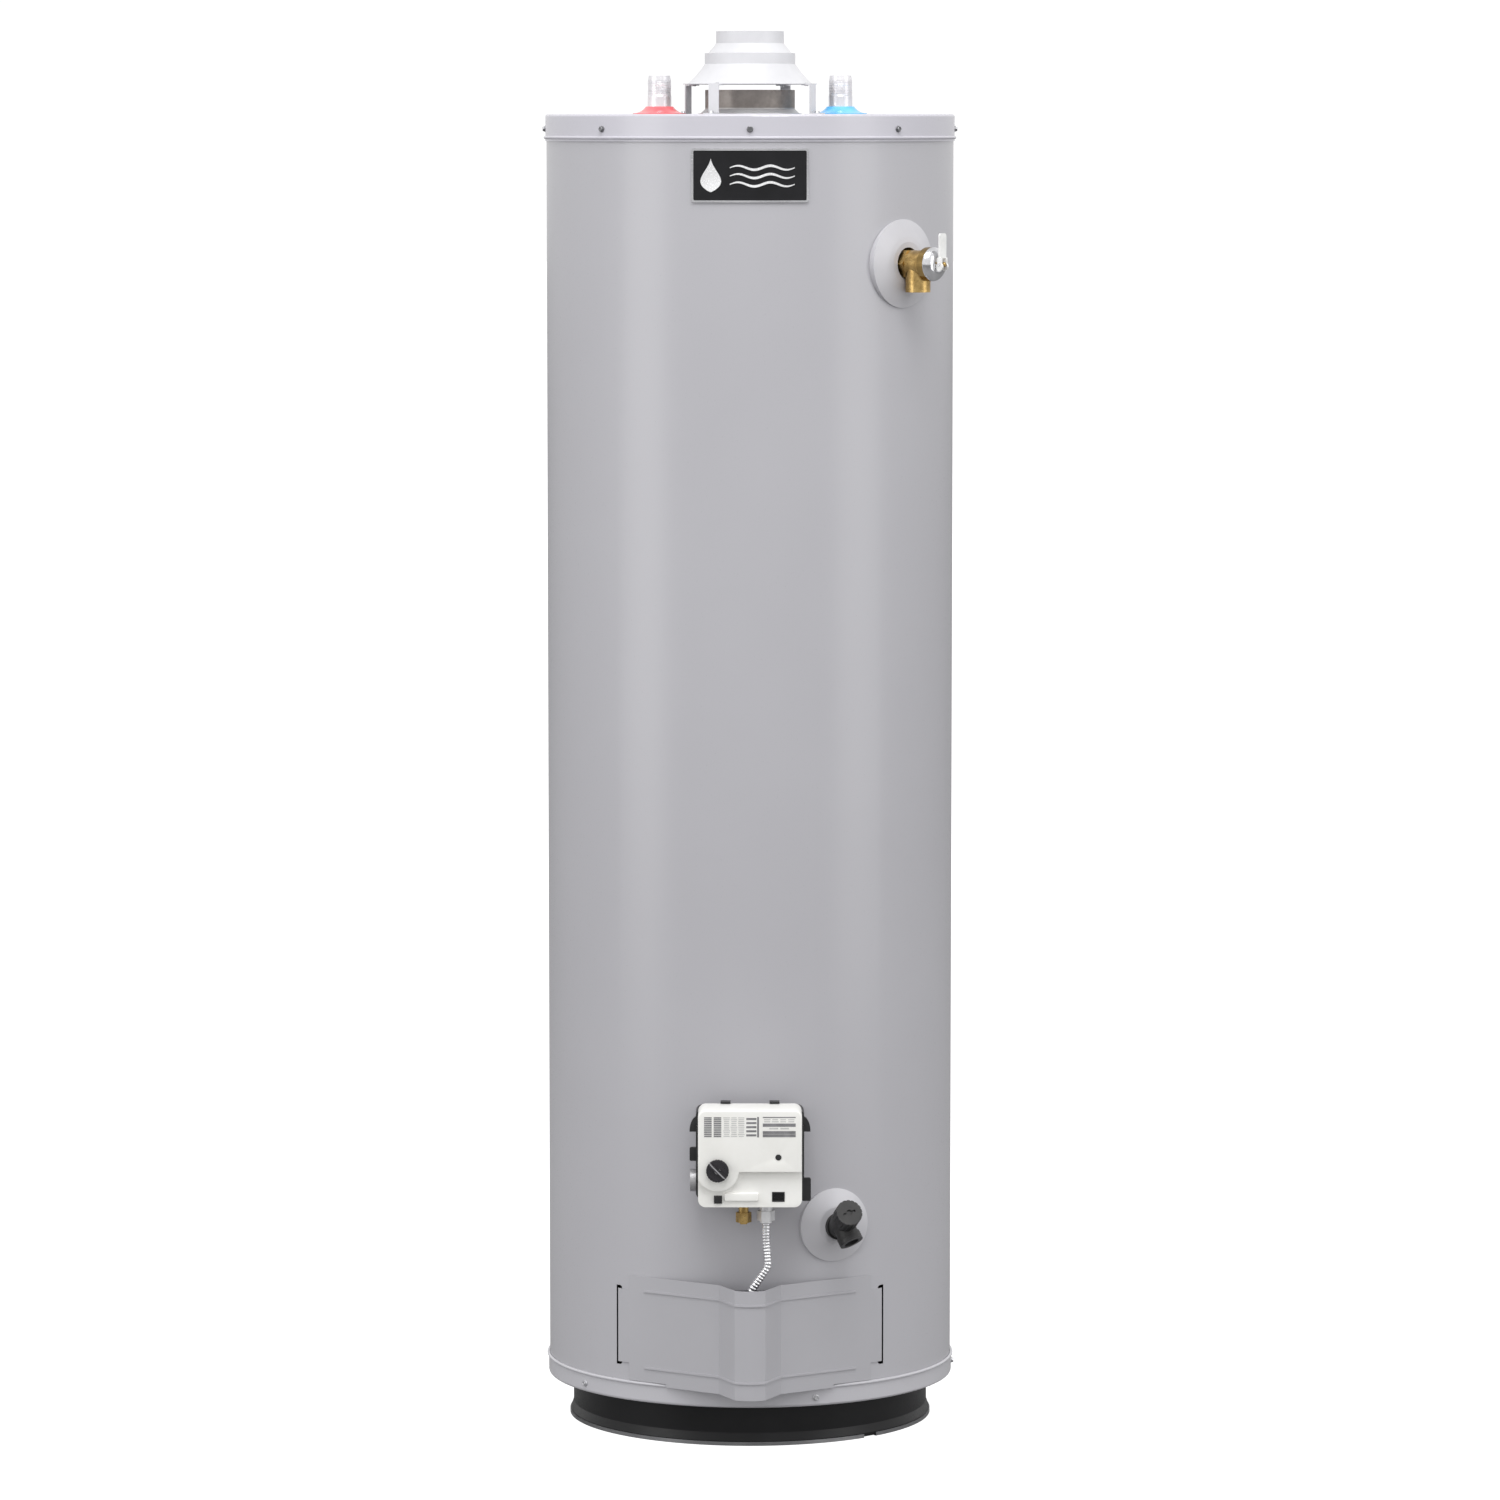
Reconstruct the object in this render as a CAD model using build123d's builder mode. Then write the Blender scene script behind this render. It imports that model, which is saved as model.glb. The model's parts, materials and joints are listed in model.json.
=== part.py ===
from build123d import *
import os
from math import cos, radians, sin, sqrt

# Tank water heater, gas fired with a natural draught flue. Sizes are in millimetres. +Z is up, the front
# faces -Y, and the origin is on the floor under the tank's axis. An azimuth is in degrees from the
# front, positive towards the right of someone who faces the heater.

os.makedirs("parts", exist_ok=True)

# Overall sizes
jacket_r = 228.6  # outside of the jacket wrap
cap_top = 1476.0  # the jacket's flat top
pan_z = 47.5  # underside of the bottom pan
insulation = 25.0  # from the tank's outside to the jacket's outside
tank_r = jacket_r - insulation
tank_wall = 2.0
flue_r = 49.2  # outside of the flue tube
flue_wall = 2.5
sheet = 0.8  # jacket, cap, pan, hood and door steel

# Clearances
close_fit = 0.1  # fixed pieces that nest in each other
lap_fit = 0.4  # sheet metal that laps over sheet metal
moving_gap = 0.5  # between a moving piece and what it passes
running_fit = 0.06  # a shaft in its own bore, on the radius

# Base ring and pan
base_r = tank_r - tank_wall - close_fit
base_wall = 1.2
base_top = pan_z + 28.0
foot_flare = 3.1
rim_height = 4.2
rim_plate = 1.2
rim_lip = 1.0
rim_seat = 3.0  # how far the rim reaches in under the ring
rim_gap = 18.0
rim_gap_azimuth = 41.0
pan_height = 23.0
pan_r = jacket_r + lap_fit + sheet
bead = 1.8  # how far a rolled bead stands proud
corner_r = 3.0

# Cap
cap_skirt = 30.0
cap_bead_z = cap_top - 26.0
screw_head_r = 3.6
screw_head_h = 3.0
screw_r = 1.9
screw_reach = 5.0
cap_screw_z = cap_top - 16.5
cap_screw_azimuths = [45.0 * n for n in range(8)]
pan_screw_z = pan_z + 9.8
pan_screw_azimuths = [18.5 + 72.0 * n for n in range(5)]

# Tank
tank_top = cap_top - 40.0
head_wall = 2.5
head_rise = 20.0
head_flange = 18.0
bottom_head_z = pan_z + 184.0  # where the bottom head's dome meets the shell
bottom_head_rise = 45.0
spud_r = 19.0
spud_length = 12.0

# Water nipples, 3/4 in pipe on 8 in centres, and the anode's plug behind the flue
nipple_x = 101.6
nipple_r = 13.34
nipple_bore_r = 10.4
nipple_thread_r = 12.9
nipple_tip_r = 12.0
nipple_above_cap = 43.0
nipple_straight = 20.0
nipple_thread = 17.0
nipple_below_cap = 74.0
ring_r = 30.0
ring_height = 8.5
dip_tube_r = 9.6
anode_r = 10.5
anode_length = 780.0
anode_plug_r = 13.0
anode_y = 101.6

# Vent
vent_r = 38.1  # 3 in vent connector collar
step_r = 50.8  # 4 in vent connector collar
hood_gap = 33.2  # cap to the underside of the hood's rim
hood_rim_r = 75.5
hood_mouth_r = 69.8
step_collar_z = 56.0  # heights above the cap
step_collar_top = 68.0
vent_collar_z = 79.0
hood_top = 92.5
collar_gap = 0.4
collar_top = 27.0
leg_r = 80.0
leg_width = 13.0
leg_wall = 1.2
leg_foot = 13.0
leg_azimuths = [-30.0, 60.0, 150.0, 240.0]
rivet_r = 1.2
rivet_at = 72.7
leg_screw_r = 1.7

# Relief valve
relief_azimuth = 47.2
relief_z = cap_top - 164.0
relief_plate_r = 48.7
relief_hole_r = 18.0
relief_shank_r = 12.6
relief_barrel_r = 15.0
relief_bonnet_r = 18.7
relief_bonnet_length = 16.5
relief_outlet_r = 13.8
relief_outlet_bore_r = 11.7  # 3/4 in pipe thread, tapping size
relief_outlet_drop = 31.0
relief_stem_r = 2.5
relief_pin_r = 1.5
relief_lift = 3.0
cam_r = 4.5
cam_offset = 2.6
lever_length = 34.0
lever_wall = 2.2
cheek_gap = 6.4

# Drain valve
drain_azimuth = 24.0
drain_z = pan_z + 202.5
drain_plate_r = 40.8
drain_shank_r = 12.5
drain_tilt = 31.0
drain_outlet_tilt = -58.0
drain_twist = 15.0  # how far the valve is turned about its shank
drain_outlet_r = 13.4  # 3/4 in hose thread
drain_outlet_length = 25.0
drain_thread = 10.0
drain_neck_r = 12.2
drain_knob_r = 14.7
drain_stem_r = 4.5

# Gas control
control_z = pan_z + 238.5  # lower edge of the cover
control_height = 108.0
control_half = 56.8
control_depth = 83.4  # jacket to the cover's front
control_corner = 8.5
cover_wall = 2.2
cover_step = 6.0  # how far the lower face is set back
frame_depth = 33.0  # jacket to the cover's back edge
knob_x, knob_up = -35.5, 42.0
knob_r = 12.4
knob_boss_r = 23.5
knob_travel = 3.0
knob_front = 12.0  # how far the knob stands before the cover's front
shaft_r = 3.5
button_x, button_up = -35.0, 8.5
button_side = 8.0
button_travel = 3.0
lens_x, lens_up = 31.0, 56.0
lens_r = 3.3
plug_x, plug_up = 31.0, 11.5
plug_width, plug_height = 14.0, 11.0
inlet_up = 20.5
inlet_bore_r = 10.4  # 1/2 in pipe thread, tapping size
inlet_thread = 20.0
inlet_boss_r = 12.5
inlet_boss = 16.0
outlet_x = 17.5
outlet_depth = 44.0  # jacket to the manifold nut's axis
well_r = 8.0
well_length = 95.0

# Burner chamber
door_bottom = pan_z + 20.0
door_top = pan_z + 142.0
door_half = 135.0
door_reach = 61.4  # jacket to the nose of the prow
prow_half, prow_depth = 17.0, 56.4
knee_half, knee_depth = 34.0, 21.9
wing_half = 119.0
bead_height = 3.0
bead_proud = 1.3
bead_levels = (pan_z + 39.1, pan_z + 125.5)
slot_x = 147.0
slot_width = 3.4
slot_low, slot_high = pan_z + 39.5, pan_z + 129.0
tab_inset = 3.5
tab_reach = 9.0
window_half = 112.0
window_low, window_high = pan_z + 33.0, pan_z + 132.0
chamber_half = 75.0
chamber_low, chamber_high = pan_z + 37.0, pan_z + 124.0
chamber_door_margin = 12.0
gasket_wall = 1.6
chamber_door_wall = 1.2
burner_z = pan_z + 76.5
burner_r = 88.0
tube_r = 4.8
arrestor_r = 70.0
floor_z = pan_z + 10.0

# Badge
badge_half = 64.0
badge_low, badge_high = cap_top - 96.0, cap_top - 37.5
badge_rim = 2.2
badge_wall = 2.0


def radial_plane(azimuth, height, distance, tilt=0.0, twist=0.0):
    """A plane square to a fitting's axis: its normal points outwards and its local Y is up."""
    a, t, w = radians(azimuth), radians(tilt), radians(twist)
    outwards = Vector(sin(a), -cos(a), 0)
    across = Vector(cos(a), sin(a), 0)
    up = Vector(0, 0, 1)
    return Plane(
        origin=outwards * distance + up * height,
        x_dir=across * cos(w) + up * sin(w),
        z_dir=outwards * cos(t) + (up * cos(w) - across * sin(w)) * sin(t),
    )


def section_plane(azimuth, height, distance=0.0, tilt=0.0):
    """The upright plane that holds a fitting's axis: its local X runs outwards along that axis."""
    a, t = radians(azimuth), radians(tilt)
    return Plane(
        origin=(sin(a) * distance, -cos(a) * distance, height),
        x_dir=(sin(a) * cos(t), -cos(a) * cos(t), sin(t)),
        z_dir=(-cos(a), -sin(a), 0),
    )


def along(plane):
    """The axis that a section plane holds."""
    return Axis(plane.origin, plane.x_dir)


def front_plane(distance):
    """A plane parallel to the front, this far before the tank's axis: local X and Y are X and Z."""
    return Plane(origin=(0, -distance, 0), x_dir=(1, 0, 0), z_dir=(0, -1, 0))


def front_at(distance, x, height):
    """The same plane with its origin at this X and Z."""
    return Plane(origin=(x, -distance, height), x_dir=(1, 0, 0), z_dir=(0, -1, 0))


def front_y(radius, x):
    """The Y of a cylinder's front at this X."""
    return -sqrt(radius**2 - x**2)


relief_axis = section_plane(relief_azimuth, relief_z)
relief_hex = jacket_r + 5.0
relief_barrel = jacket_r + 15.0
relief_bonnet_s = jacket_r + 37.0
relief_bonnet_end = relief_bonnet_s + relief_bonnet_length
relief_pin_s = relief_bonnet_end + cam_r + moving_gap
relief_inner = tank_r - 8.0
drain_turn = jacket_r + 15.4  # where the drain valve's stem axis leaves its shank axis

# Base ring: the black stand that carries the tank

foot_r = base_r + foot_flare
with BuildPart() as base_ring:
    with BuildSketch(Plane.XZ):
        with BuildLine():
            Polyline(
                (base_r, base_top),
                (base_r, 14),
                (foot_r, 5),
                (foot_r, rim_plate),
                (foot_r - base_wall, rim_plate),
                (foot_r - base_wall, 4.6),
                (base_r - base_wall, 13.4),
                (base_r - base_wall, base_top),
                close=True,
            )
        make_face()
    revolve(axis=Axis.Z)
base_ring.part.label = "base_ring"
export_step(base_ring.part, "parts/base_ring.step")

with BuildPart() as base_rim_trim:
    with BuildSketch(Plane.XZ):
        with BuildLine():
            Polyline(
                (foot_r - rim_seat, 0),
                (foot_r + rim_lip, 0),
                (foot_r + rim_lip, rim_height),
                (foot_r + close_fit, rim_height),
                (foot_r + close_fit, rim_plate),
                (foot_r - rim_seat, rim_plate),
                close=True,
            )
        make_face()
    revolve(axis=Axis.Z)
    with Locations(radial_plane(rim_gap_azimuth, 0, foot_r)):
        Box(rim_gap, 4 * rim_height, 4 * rim_seat, mode=Mode.SUBTRACT)
base_rim_trim.part.label = "base_rim_trim"
export_step(base_rim_trim.part, "parts/base_rim_trim.step")

# Bottom pan: closes the jacket round the tank's skirt

with BuildPart() as bottom_pan:
    with BuildSketch(Plane.XZ):
        with BuildLine():
            Polyline(
                (pan_r - sheet, pan_z + corner_r + sheet),
                (pan_r - sheet, pan_z + pan_height),
                (pan_r, pan_z + pan_height),
            )
            ThreePointArc(
                (pan_r, pan_z + pan_height),
                (pan_r + bead, pan_z + pan_height - bead),
                (pan_r, pan_z + pan_height - 2 * bead),
            )
            Line((pan_r, pan_z + pan_height - 2 * bead), (pan_r, pan_z + corner_r))
            RadiusArc((pan_r, pan_z + corner_r), (pan_r - corner_r, pan_z), corner_r)
            Polyline(
                (pan_r - corner_r, pan_z),
                (tank_r + close_fit, pan_z),
                (tank_r + close_fit, pan_z + sheet),
                (pan_r - sheet - corner_r, pan_z + sheet),
                (pan_r - sheet, pan_z + corner_r + sheet),
            )
        make_face()
    revolve(axis=Axis.Z)
    with Locations(*[radial_plane(a, pan_screw_z, jacket_r) for a in pan_screw_azimuths]):
        Cylinder(screw_r + close_fit, 2 * screw_reach, mode=Mode.SUBTRACT)
bottom_pan.part.label = "bottom_pan"
export_step(bottom_pan.part, "parts/bottom_pan.step")

# Jacket wrap: a rolled sheet with the openings for the burner, the door's tabs and the fittings

wrap_low = pan_z + sheet + corner_r + close_fit
wrap_high = cap_top - sheet - corner_r - close_fit
door_tab_low, door_tab_high = slot_low + tab_inset, slot_high - tab_inset
with BuildPart() as jacket_wrap:
    with BuildSketch(Plane.XY.offset(wrap_low)):
        Circle(jacket_r)
        Circle(jacket_r - sheet, mode=Mode.SUBTRACT)
    extrude(amount=wrap_high - wrap_low)
    with BuildSketch(front_plane(tank_r - 60)):
        with Locations((0, (window_low + window_high) / 2)):
            RectangleRounded(2 * window_half, window_high - window_low, 8)
    extrude(amount=insulation + 80, mode=Mode.SUBTRACT)
    with BuildSketch(front_plane(0)):
        for side in (-1, 1):
            with Locations((side * slot_x, (slot_low + slot_high) / 2)):
                Rectangle(slot_width, slot_high - slot_low)
            with Locations(
                (side * (slot_x - 1.4), slot_low + 3), (side * (slot_x - 1.4), slot_high - 3)
            ):
                Circle(3)
        with Locations((0, control_z + control_height / 2)):
            Rectangle(84, 84)
    extrude(amount=jacket_r + 10, mode=Mode.SUBTRACT)
    with Locations(radial_plane(relief_azimuth, relief_z, jacket_r)):
        Cylinder(spud_r + 4, 30, mode=Mode.SUBTRACT)
    with Locations(radial_plane(drain_azimuth, drain_z, jacket_r)):
        Cylinder(spud_r + 4, 30, mode=Mode.SUBTRACT)
    with Locations(*[radial_plane(a, cap_screw_z, jacket_r) for a in cap_screw_azimuths]):
        Cylinder(screw_r + close_fit, 2 * screw_reach, mode=Mode.SUBTRACT)
    with Locations(*[radial_plane(a, pan_screw_z, jacket_r) for a in pan_screw_azimuths]):
        Cylinder(screw_r + close_fit, 2 * screw_reach, mode=Mode.SUBTRACT)
jacket_wrap.part.label = "jacket_wrap"
export_step(jacket_wrap.part, "parts/jacket_wrap.step")

# Jacket cap: a drawn lid with a rolled bead round its skirt

cap_low = cap_top - cap_skirt
with BuildPart() as jacket_cap:
    with BuildSketch(Plane.XZ):
        with BuildLine():
            Polyline(
                (flue_r + collar_gap, cap_top - sheet),
                (flue_r + collar_gap, cap_top),
                (pan_r - corner_r, cap_top),
            )
            RadiusArc((pan_r - corner_r, cap_top), (pan_r, cap_top - corner_r), corner_r)
            Line((pan_r, cap_top - corner_r), (pan_r, cap_bead_z + bead))
            ThreePointArc(
                (pan_r, cap_bead_z + bead),
                (pan_r + bead, cap_bead_z),
                (pan_r, cap_bead_z - bead),
            )
            Polyline(
                (pan_r, cap_bead_z - bead),
                (pan_r, cap_low),
                (pan_r - sheet, cap_low),
                (pan_r - sheet, cap_top - sheet - corner_r),
                (pan_r - sheet - corner_r, cap_top - sheet),
                (flue_r + collar_gap, cap_top - sheet),
            )
        make_face()
    revolve(axis=Axis.Z)
    with Locations((nipple_x, 0, cap_top), (-nipple_x, 0, cap_top)):
        Cylinder(nipple_r + 2, 6, mode=Mode.SUBTRACT)
    with Locations(*[radial_plane(a, cap_screw_z, jacket_r) for a in cap_screw_azimuths]):
        Cylinder(screw_r + close_fit, 2 * screw_reach, mode=Mode.SUBTRACT)
    with Locations(Location((0, 0, cap_top))):
        with PolarLocations(leg_r + leg_foot / 2, 4, start_angle=leg_azimuths[0] - 90):
            Cylinder(leg_screw_r + close_fit, 6, mode=Mode.SUBTRACT)
jacket_cap.part.label = "jacket_cap"
export_step(jacket_cap.part, "parts/jacket_cap.step")

with BuildPart() as cap_screws:
    for azimuth in cap_screw_azimuths:
        with BuildSketch(radial_plane(azimuth, cap_screw_z, pan_r)):
            Circle(screw_head_r)
        extrude(amount=screw_head_h, taper=18)
        with BuildSketch(radial_plane(azimuth, cap_screw_z, pan_r)):
            Circle(screw_r)
        extrude(amount=-screw_reach)
cap_screws.part.label = "cap_screws"
export_step(cap_screws.part, "parts/cap_screws.step")

with BuildPart() as pan_screws:
    for azimuth in pan_screw_azimuths:
        with BuildSketch(radial_plane(azimuth, pan_screw_z, pan_r)):
            Circle(screw_head_r)
        extrude(amount=screw_head_h, taper=18)
        with BuildSketch(radial_plane(azimuth, pan_screw_z, pan_r)):
            Circle(screw_r)
        extrude(amount=-screw_reach)
pan_screws.part.label = "pan_screws"
export_step(pan_screws.part, "parts/pan_screws.step")

# Badge: a bright frame and a plain dark panel, curved to the jacket

badge_mid = (badge_low + badge_high) / 2
with BuildPart() as badge_frame:
    with BuildSketch(Plane.XY.offset(badge_low)):
        Circle(jacket_r + badge_wall)
        Circle(jacket_r + close_fit, mode=Mode.SUBTRACT)
    extrude(amount=badge_high - badge_low)
    with BuildSketch(front_plane(0)):
        with Locations((0, badge_mid)):
            RectangleRounded(2 * badge_half, badge_high - badge_low, 2.5)
            RectangleRounded(
                2 * (badge_half - badge_rim),
                badge_high - badge_low - 2 * badge_rim,
                1.5,
                mode=Mode.SUBTRACT,
            )
    extrude(amount=jacket_r + 10, mode=Mode.INTERSECT)
badge_frame.part.label = "badge_frame"
export_step(badge_frame.part, "parts/badge_frame.step")

with BuildPart() as badge_panel:
    with BuildSketch(Plane.XY.offset(badge_low)):
        Circle(jacket_r + badge_wall - 0.6)
        Circle(jacket_r + close_fit, mode=Mode.SUBTRACT)
    extrude(amount=badge_high - badge_low)
    with BuildSketch(front_plane(0)):
        with Locations((0, badge_mid)):
            RectangleRounded(
                2 * (badge_half - badge_rim - close_fit),
                badge_high - badge_low - 2 * (badge_rim + close_fit),
                1.4,
            )
    extrude(amount=jacket_r + 10, mode=Mode.INTERSECT)
badge_panel.part.label = "badge_panel"
export_step(badge_panel.part, "parts/badge_panel.step")

# Tank: a shell with its skirt round the burner, two dished heads and the flue up the middle

control_spud_z = control_z + 58.0
with BuildPart() as tank_shell:
    with BuildSketch(Plane.XY.offset(pan_z)):
        Circle(tank_r)
        Circle(tank_r - tank_wall, mode=Mode.SUBTRACT)
    extrude(amount=tank_top - pan_z)
    for azimuth, height in (
        (relief_azimuth, relief_z),
        (drain_azimuth, drain_z),
        (0, control_spud_z),
    ):
        with BuildSketch(radial_plane(azimuth, height, tank_r - tank_wall / 2)):
            Circle(spud_r)
        extrude(amount=spud_length + tank_wall / 2)
    with Locations(radial_plane(relief_azimuth, relief_z, tank_r)):
        Cylinder(relief_shank_r + close_fit, 60, mode=Mode.SUBTRACT)
    with Locations(radial_plane(drain_azimuth, drain_z, tank_r)):
        Cylinder(drain_shank_r + close_fit, 60, mode=Mode.SUBTRACT)
    with Locations(radial_plane(0, control_spud_z, tank_r)):
        Cylinder(well_r + close_fit, 60, mode=Mode.SUBTRACT)
    with BuildSketch(front_plane(tank_r - 60)):
        with Locations((0, (chamber_low + chamber_high) / 2)):
            RectangleRounded(2 * chamber_half, chamber_high - chamber_low, 10)
    extrude(amount=80, mode=Mode.SUBTRACT)
    with Locations(
        *[
            radial_plane(side * 24, level, tank_r)
            for side in (-1, 1)
            for level in (chamber_low - 6, chamber_high + 6)
        ]
    ):
        Cylinder(screw_r + close_fit, 12, mode=Mode.SUBTRACT)
tank_shell.part.label = "tank_shell"
export_step(tank_shell.part, "parts/tank_shell.step")

head_r = tank_r - tank_wall - close_fit
with BuildPart() as tank_top_head:
    with BuildSketch(Plane.XZ):
        with BuildLine():
            ThreePointArc(
                (flue_r + close_fit, tank_top - head_wall + head_rise),
                (head_r * 0.65, tank_top - head_wall + head_rise * 0.72),
                (head_r, tank_top - head_wall),
            )
            Polyline(
                (head_r, tank_top - head_wall),
                (head_r, tank_top - head_flange),
                (head_r - head_wall, tank_top - head_flange),
                (head_r - head_wall, tank_top - 2 * head_wall),
            )
            ThreePointArc(
                (head_r - head_wall, tank_top - 2 * head_wall),
                (head_r * 0.65, tank_top - 2 * head_wall + head_rise * 0.72),
                (flue_r + close_fit, tank_top - 2 * head_wall + head_rise),
            )
            Line(
                (flue_r + close_fit, tank_top - 2 * head_wall + head_rise),
                (flue_r + close_fit, tank_top - head_wall + head_rise),
            )
        make_face()
    revolve(axis=Axis.Z)
    with BuildSketch(Plane.XY.offset(tank_top + 0.6 * head_rise)):
        with Locations((nipple_x, 0), (-nipple_x, 0), (0, anode_y)):
            Circle(spud_r)
    extrude(amount=spud_length)
    with Locations((nipple_x, 0, tank_top), (-nipple_x, 0, tank_top)):
        Cylinder(nipple_r + close_fit, 90, mode=Mode.SUBTRACT)
    with Locations((0, anode_y, tank_top)):
        Cylinder(anode_plug_r + close_fit, 90, mode=Mode.SUBTRACT)
tank_top_head.part.label = "tank_top_head"
export_step(tank_top_head.part, "parts/tank_top_head.step")

with BuildPart() as tank_bottom_head:
    with BuildSketch(Plane.XZ):
        with BuildLine():
            ThreePointArc(
                (flue_r + close_fit, bottom_head_z + bottom_head_rise),
                (head_r * 0.65, bottom_head_z + bottom_head_rise * 0.72),
                (head_r, bottom_head_z),
            )
            Polyline(
                (head_r, bottom_head_z),
                (head_r, bottom_head_z - head_flange),
                (head_r - head_wall, bottom_head_z - head_flange),
                (head_r - head_wall, bottom_head_z - head_wall),
            )
            ThreePointArc(
                (head_r - head_wall, bottom_head_z - head_wall),
                (head_r * 0.65, bottom_head_z - head_wall + bottom_head_rise * 0.72),
                (flue_r + close_fit, bottom_head_z - head_wall + bottom_head_rise),
            )
            Line(
                (flue_r + close_fit, bottom_head_z - head_wall + bottom_head_rise),
                (flue_r + close_fit, bottom_head_z + bottom_head_rise),
            )
        make_face()
    revolve(axis=Axis.Z)
tank_bottom_head.part.label = "tank_bottom_head"
export_step(tank_bottom_head.part, "parts/tank_bottom_head.step")

flue_low = bottom_head_z + bottom_head_rise - 12.0
flue_top = cap_top + 3.0
with BuildPart() as flue_tube:
    with BuildSketch(Plane.XY.offset(flue_low)):
        Circle(flue_r)
        Circle(flue_r - flue_wall, mode=Mode.SUBTRACT)
    extrude(amount=flue_top - flue_low)
flue_tube.part.label = "flue_tube"
export_step(flue_tube.part, "parts/flue_tube.step")

# Flue baffle: a folded strip that hangs from the flue's rim by a cross bar

baffle_wall = 1.5
baffle_half = flue_r - flue_wall - 6.0
baffle_fold = 14.0
baffle_pitch = 55.0
baffle_folds = int((flue_top - flue_low - 60) / baffle_pitch)
baffle_points = [
    ((-1) ** n * baffle_fold * (n > 0), flue_top - 10 - n * baffle_pitch) for n in range(baffle_folds)
]
with BuildPart() as flue_baffle:
    with BuildSketch(Plane.YZ):
        with BuildLine():
            Polyline(
                *baffle_points,
                *[(across + baffle_wall, up) for across, up in reversed(baffle_points)],
                close=True,
            )
        make_face()
    extrude(amount=baffle_half, both=True)
    with BuildSketch(Plane.YZ):
        with Locations((baffle_wall / 2, flue_top)):
            Rectangle(baffle_wall, 22)
    extrude(amount=baffle_half, both=True)
    with BuildSketch(Plane.YZ):
        with Locations((baffle_wall / 2, flue_top + 4)):
            Rectangle(baffle_wall, 8)
    extrude(amount=flue_r - 0.5, both=True)
flue_baffle.part.label = "flue_baffle"
export_step(flue_baffle.part, "parts/flue_baffle.step")

with BuildPart() as foam_insulation:
    foam_low = bottom_head_z - head_flange - 14.0
    foam_top = cap_top - sheet - close_fit
    with BuildSketch(Plane.XZ):
        with BuildLine():
            Polyline(
                (tank_r + close_fit, foam_low),
                (jacket_r - sheet - close_fit, foam_low),
                (jacket_r - sheet - close_fit, foam_top - corner_r - sheet),
                (jacket_r - sheet - corner_r - sheet, foam_top),
                (flue_r + 2, foam_top),
                (flue_r + 2, tank_top + head_rise + 2),
                (nipple_x + spud_r + 4, tank_top + head_rise + 2),
                (tank_r + close_fit, tank_top + 2),
                close=True,
            )
        make_face()
    revolve(axis=Axis.Z)
    with BuildSketch(Plane.XY.offset(tank_top)):
        with Locations((nipple_x, 0), (-nipple_x, 0), (0, anode_y)):
            Circle(spud_r + 2)
    extrude(amount=60, mode=Mode.SUBTRACT)
    with Locations(radial_plane(relief_azimuth, relief_z, jacket_r)):
        Cylinder(spud_r + 4, 4 * insulation, mode=Mode.SUBTRACT)
    with Locations(radial_plane(drain_azimuth, drain_z, jacket_r)):
        Cylinder(spud_r + 4, 4 * insulation, mode=Mode.SUBTRACT)
    with Locations(radial_plane(0, control_spud_z, jacket_r)):
        Cylinder(spud_r + 4, 4 * insulation, mode=Mode.SUBTRACT)
    with Locations(*[radial_plane(a, cap_screw_z, jacket_r) for a in cap_screw_azimuths]):
        Cylinder(screw_r + lap_fit, 3 * screw_reach, mode=Mode.SUBTRACT)
    with Locations(Location((0, 0, foam_top))):
        with PolarLocations(leg_r + leg_foot / 2, 4, start_angle=leg_azimuths[0] - 90):
            Cylinder(leg_screw_r + lap_fit, 3 * screw_reach, mode=Mode.SUBTRACT)
foam_insulation.part.label = "foam_insulation"
export_step(foam_insulation.part, "parts/foam_insulation.step")

# Water nipples, their coloured rings, the dip tube and the anode

nipple_top = cap_top + nipple_above_cap
for side, name in ((-1, "hot"), (1, "cold")):
    with BuildPart() as nipple:
        with BuildSketch(Plane.XZ):
            with BuildLine():
                Polyline(
                    (nipple_bore_r, -nipple_below_cap),
                    (nipple_r, -nipple_below_cap),
                    (nipple_r, nipple_straight),
                    (nipple_thread_r, nipple_straight + 1),
                    (nipple_thread_r, nipple_straight + 1 + nipple_thread),
                    (nipple_tip_r, nipple_above_cap),
                    (nipple_bore_r, nipple_above_cap),
                    close=True,
                )
            make_face()
        revolve(axis=Axis.Z)
    nipple.part.position = (side * nipple_x, 0, cap_top)
    nipple.part.label = f"{name}_nipple"
    export_step(nipple.part, f"parts/{name}_nipple.step")
    with BuildPart() as ring:
        with BuildSketch(Plane.XZ):
            with BuildLine():
                Polyline(
                    (nipple_r + close_fit, ring_height),
                    (nipple_r + close_fit, 0),
                    (ring_r, 0),
                    (ring_r, 1),
                )
                Spline(
                    (ring_r, 1),
                    (ring_r * 0.7, ring_height * 0.38),
                    (nipple_r + 2, ring_height),
                )
                Line((nipple_r + 2, ring_height), (nipple_r + close_fit, ring_height))
            make_face()
        revolve(axis=Axis.Z)
    ring.part.position = (side * nipple_x, 0, cap_top)
    ring.part.label = f"{name}_ring"
    export_step(ring.part, f"parts/{name}_ring.step")

with BuildPart() as dip_tube:
    with BuildSketch(Plane.XY.offset(bottom_head_z + bottom_head_rise + 60)):
        with Locations((nipple_x, 0)):
            Circle(dip_tube_r)
            Circle(dip_tube_r - 1.6, mode=Mode.SUBTRACT)
    extrude(amount=nipple_top - 6 - (bottom_head_z + bottom_head_rise + 60))
    with BuildSketch(Plane.XY.offset(nipple_top - 6)):
        with Locations((nipple_x, 0)):
            Circle(nipple_bore_r - close_fit)
            Circle(dip_tube_r - 1.6, mode=Mode.SUBTRACT)
    extrude(amount=2.5)
dip_tube.part.label = "dip_tube"
export_step(dip_tube.part, "parts/dip_tube.step")

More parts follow.
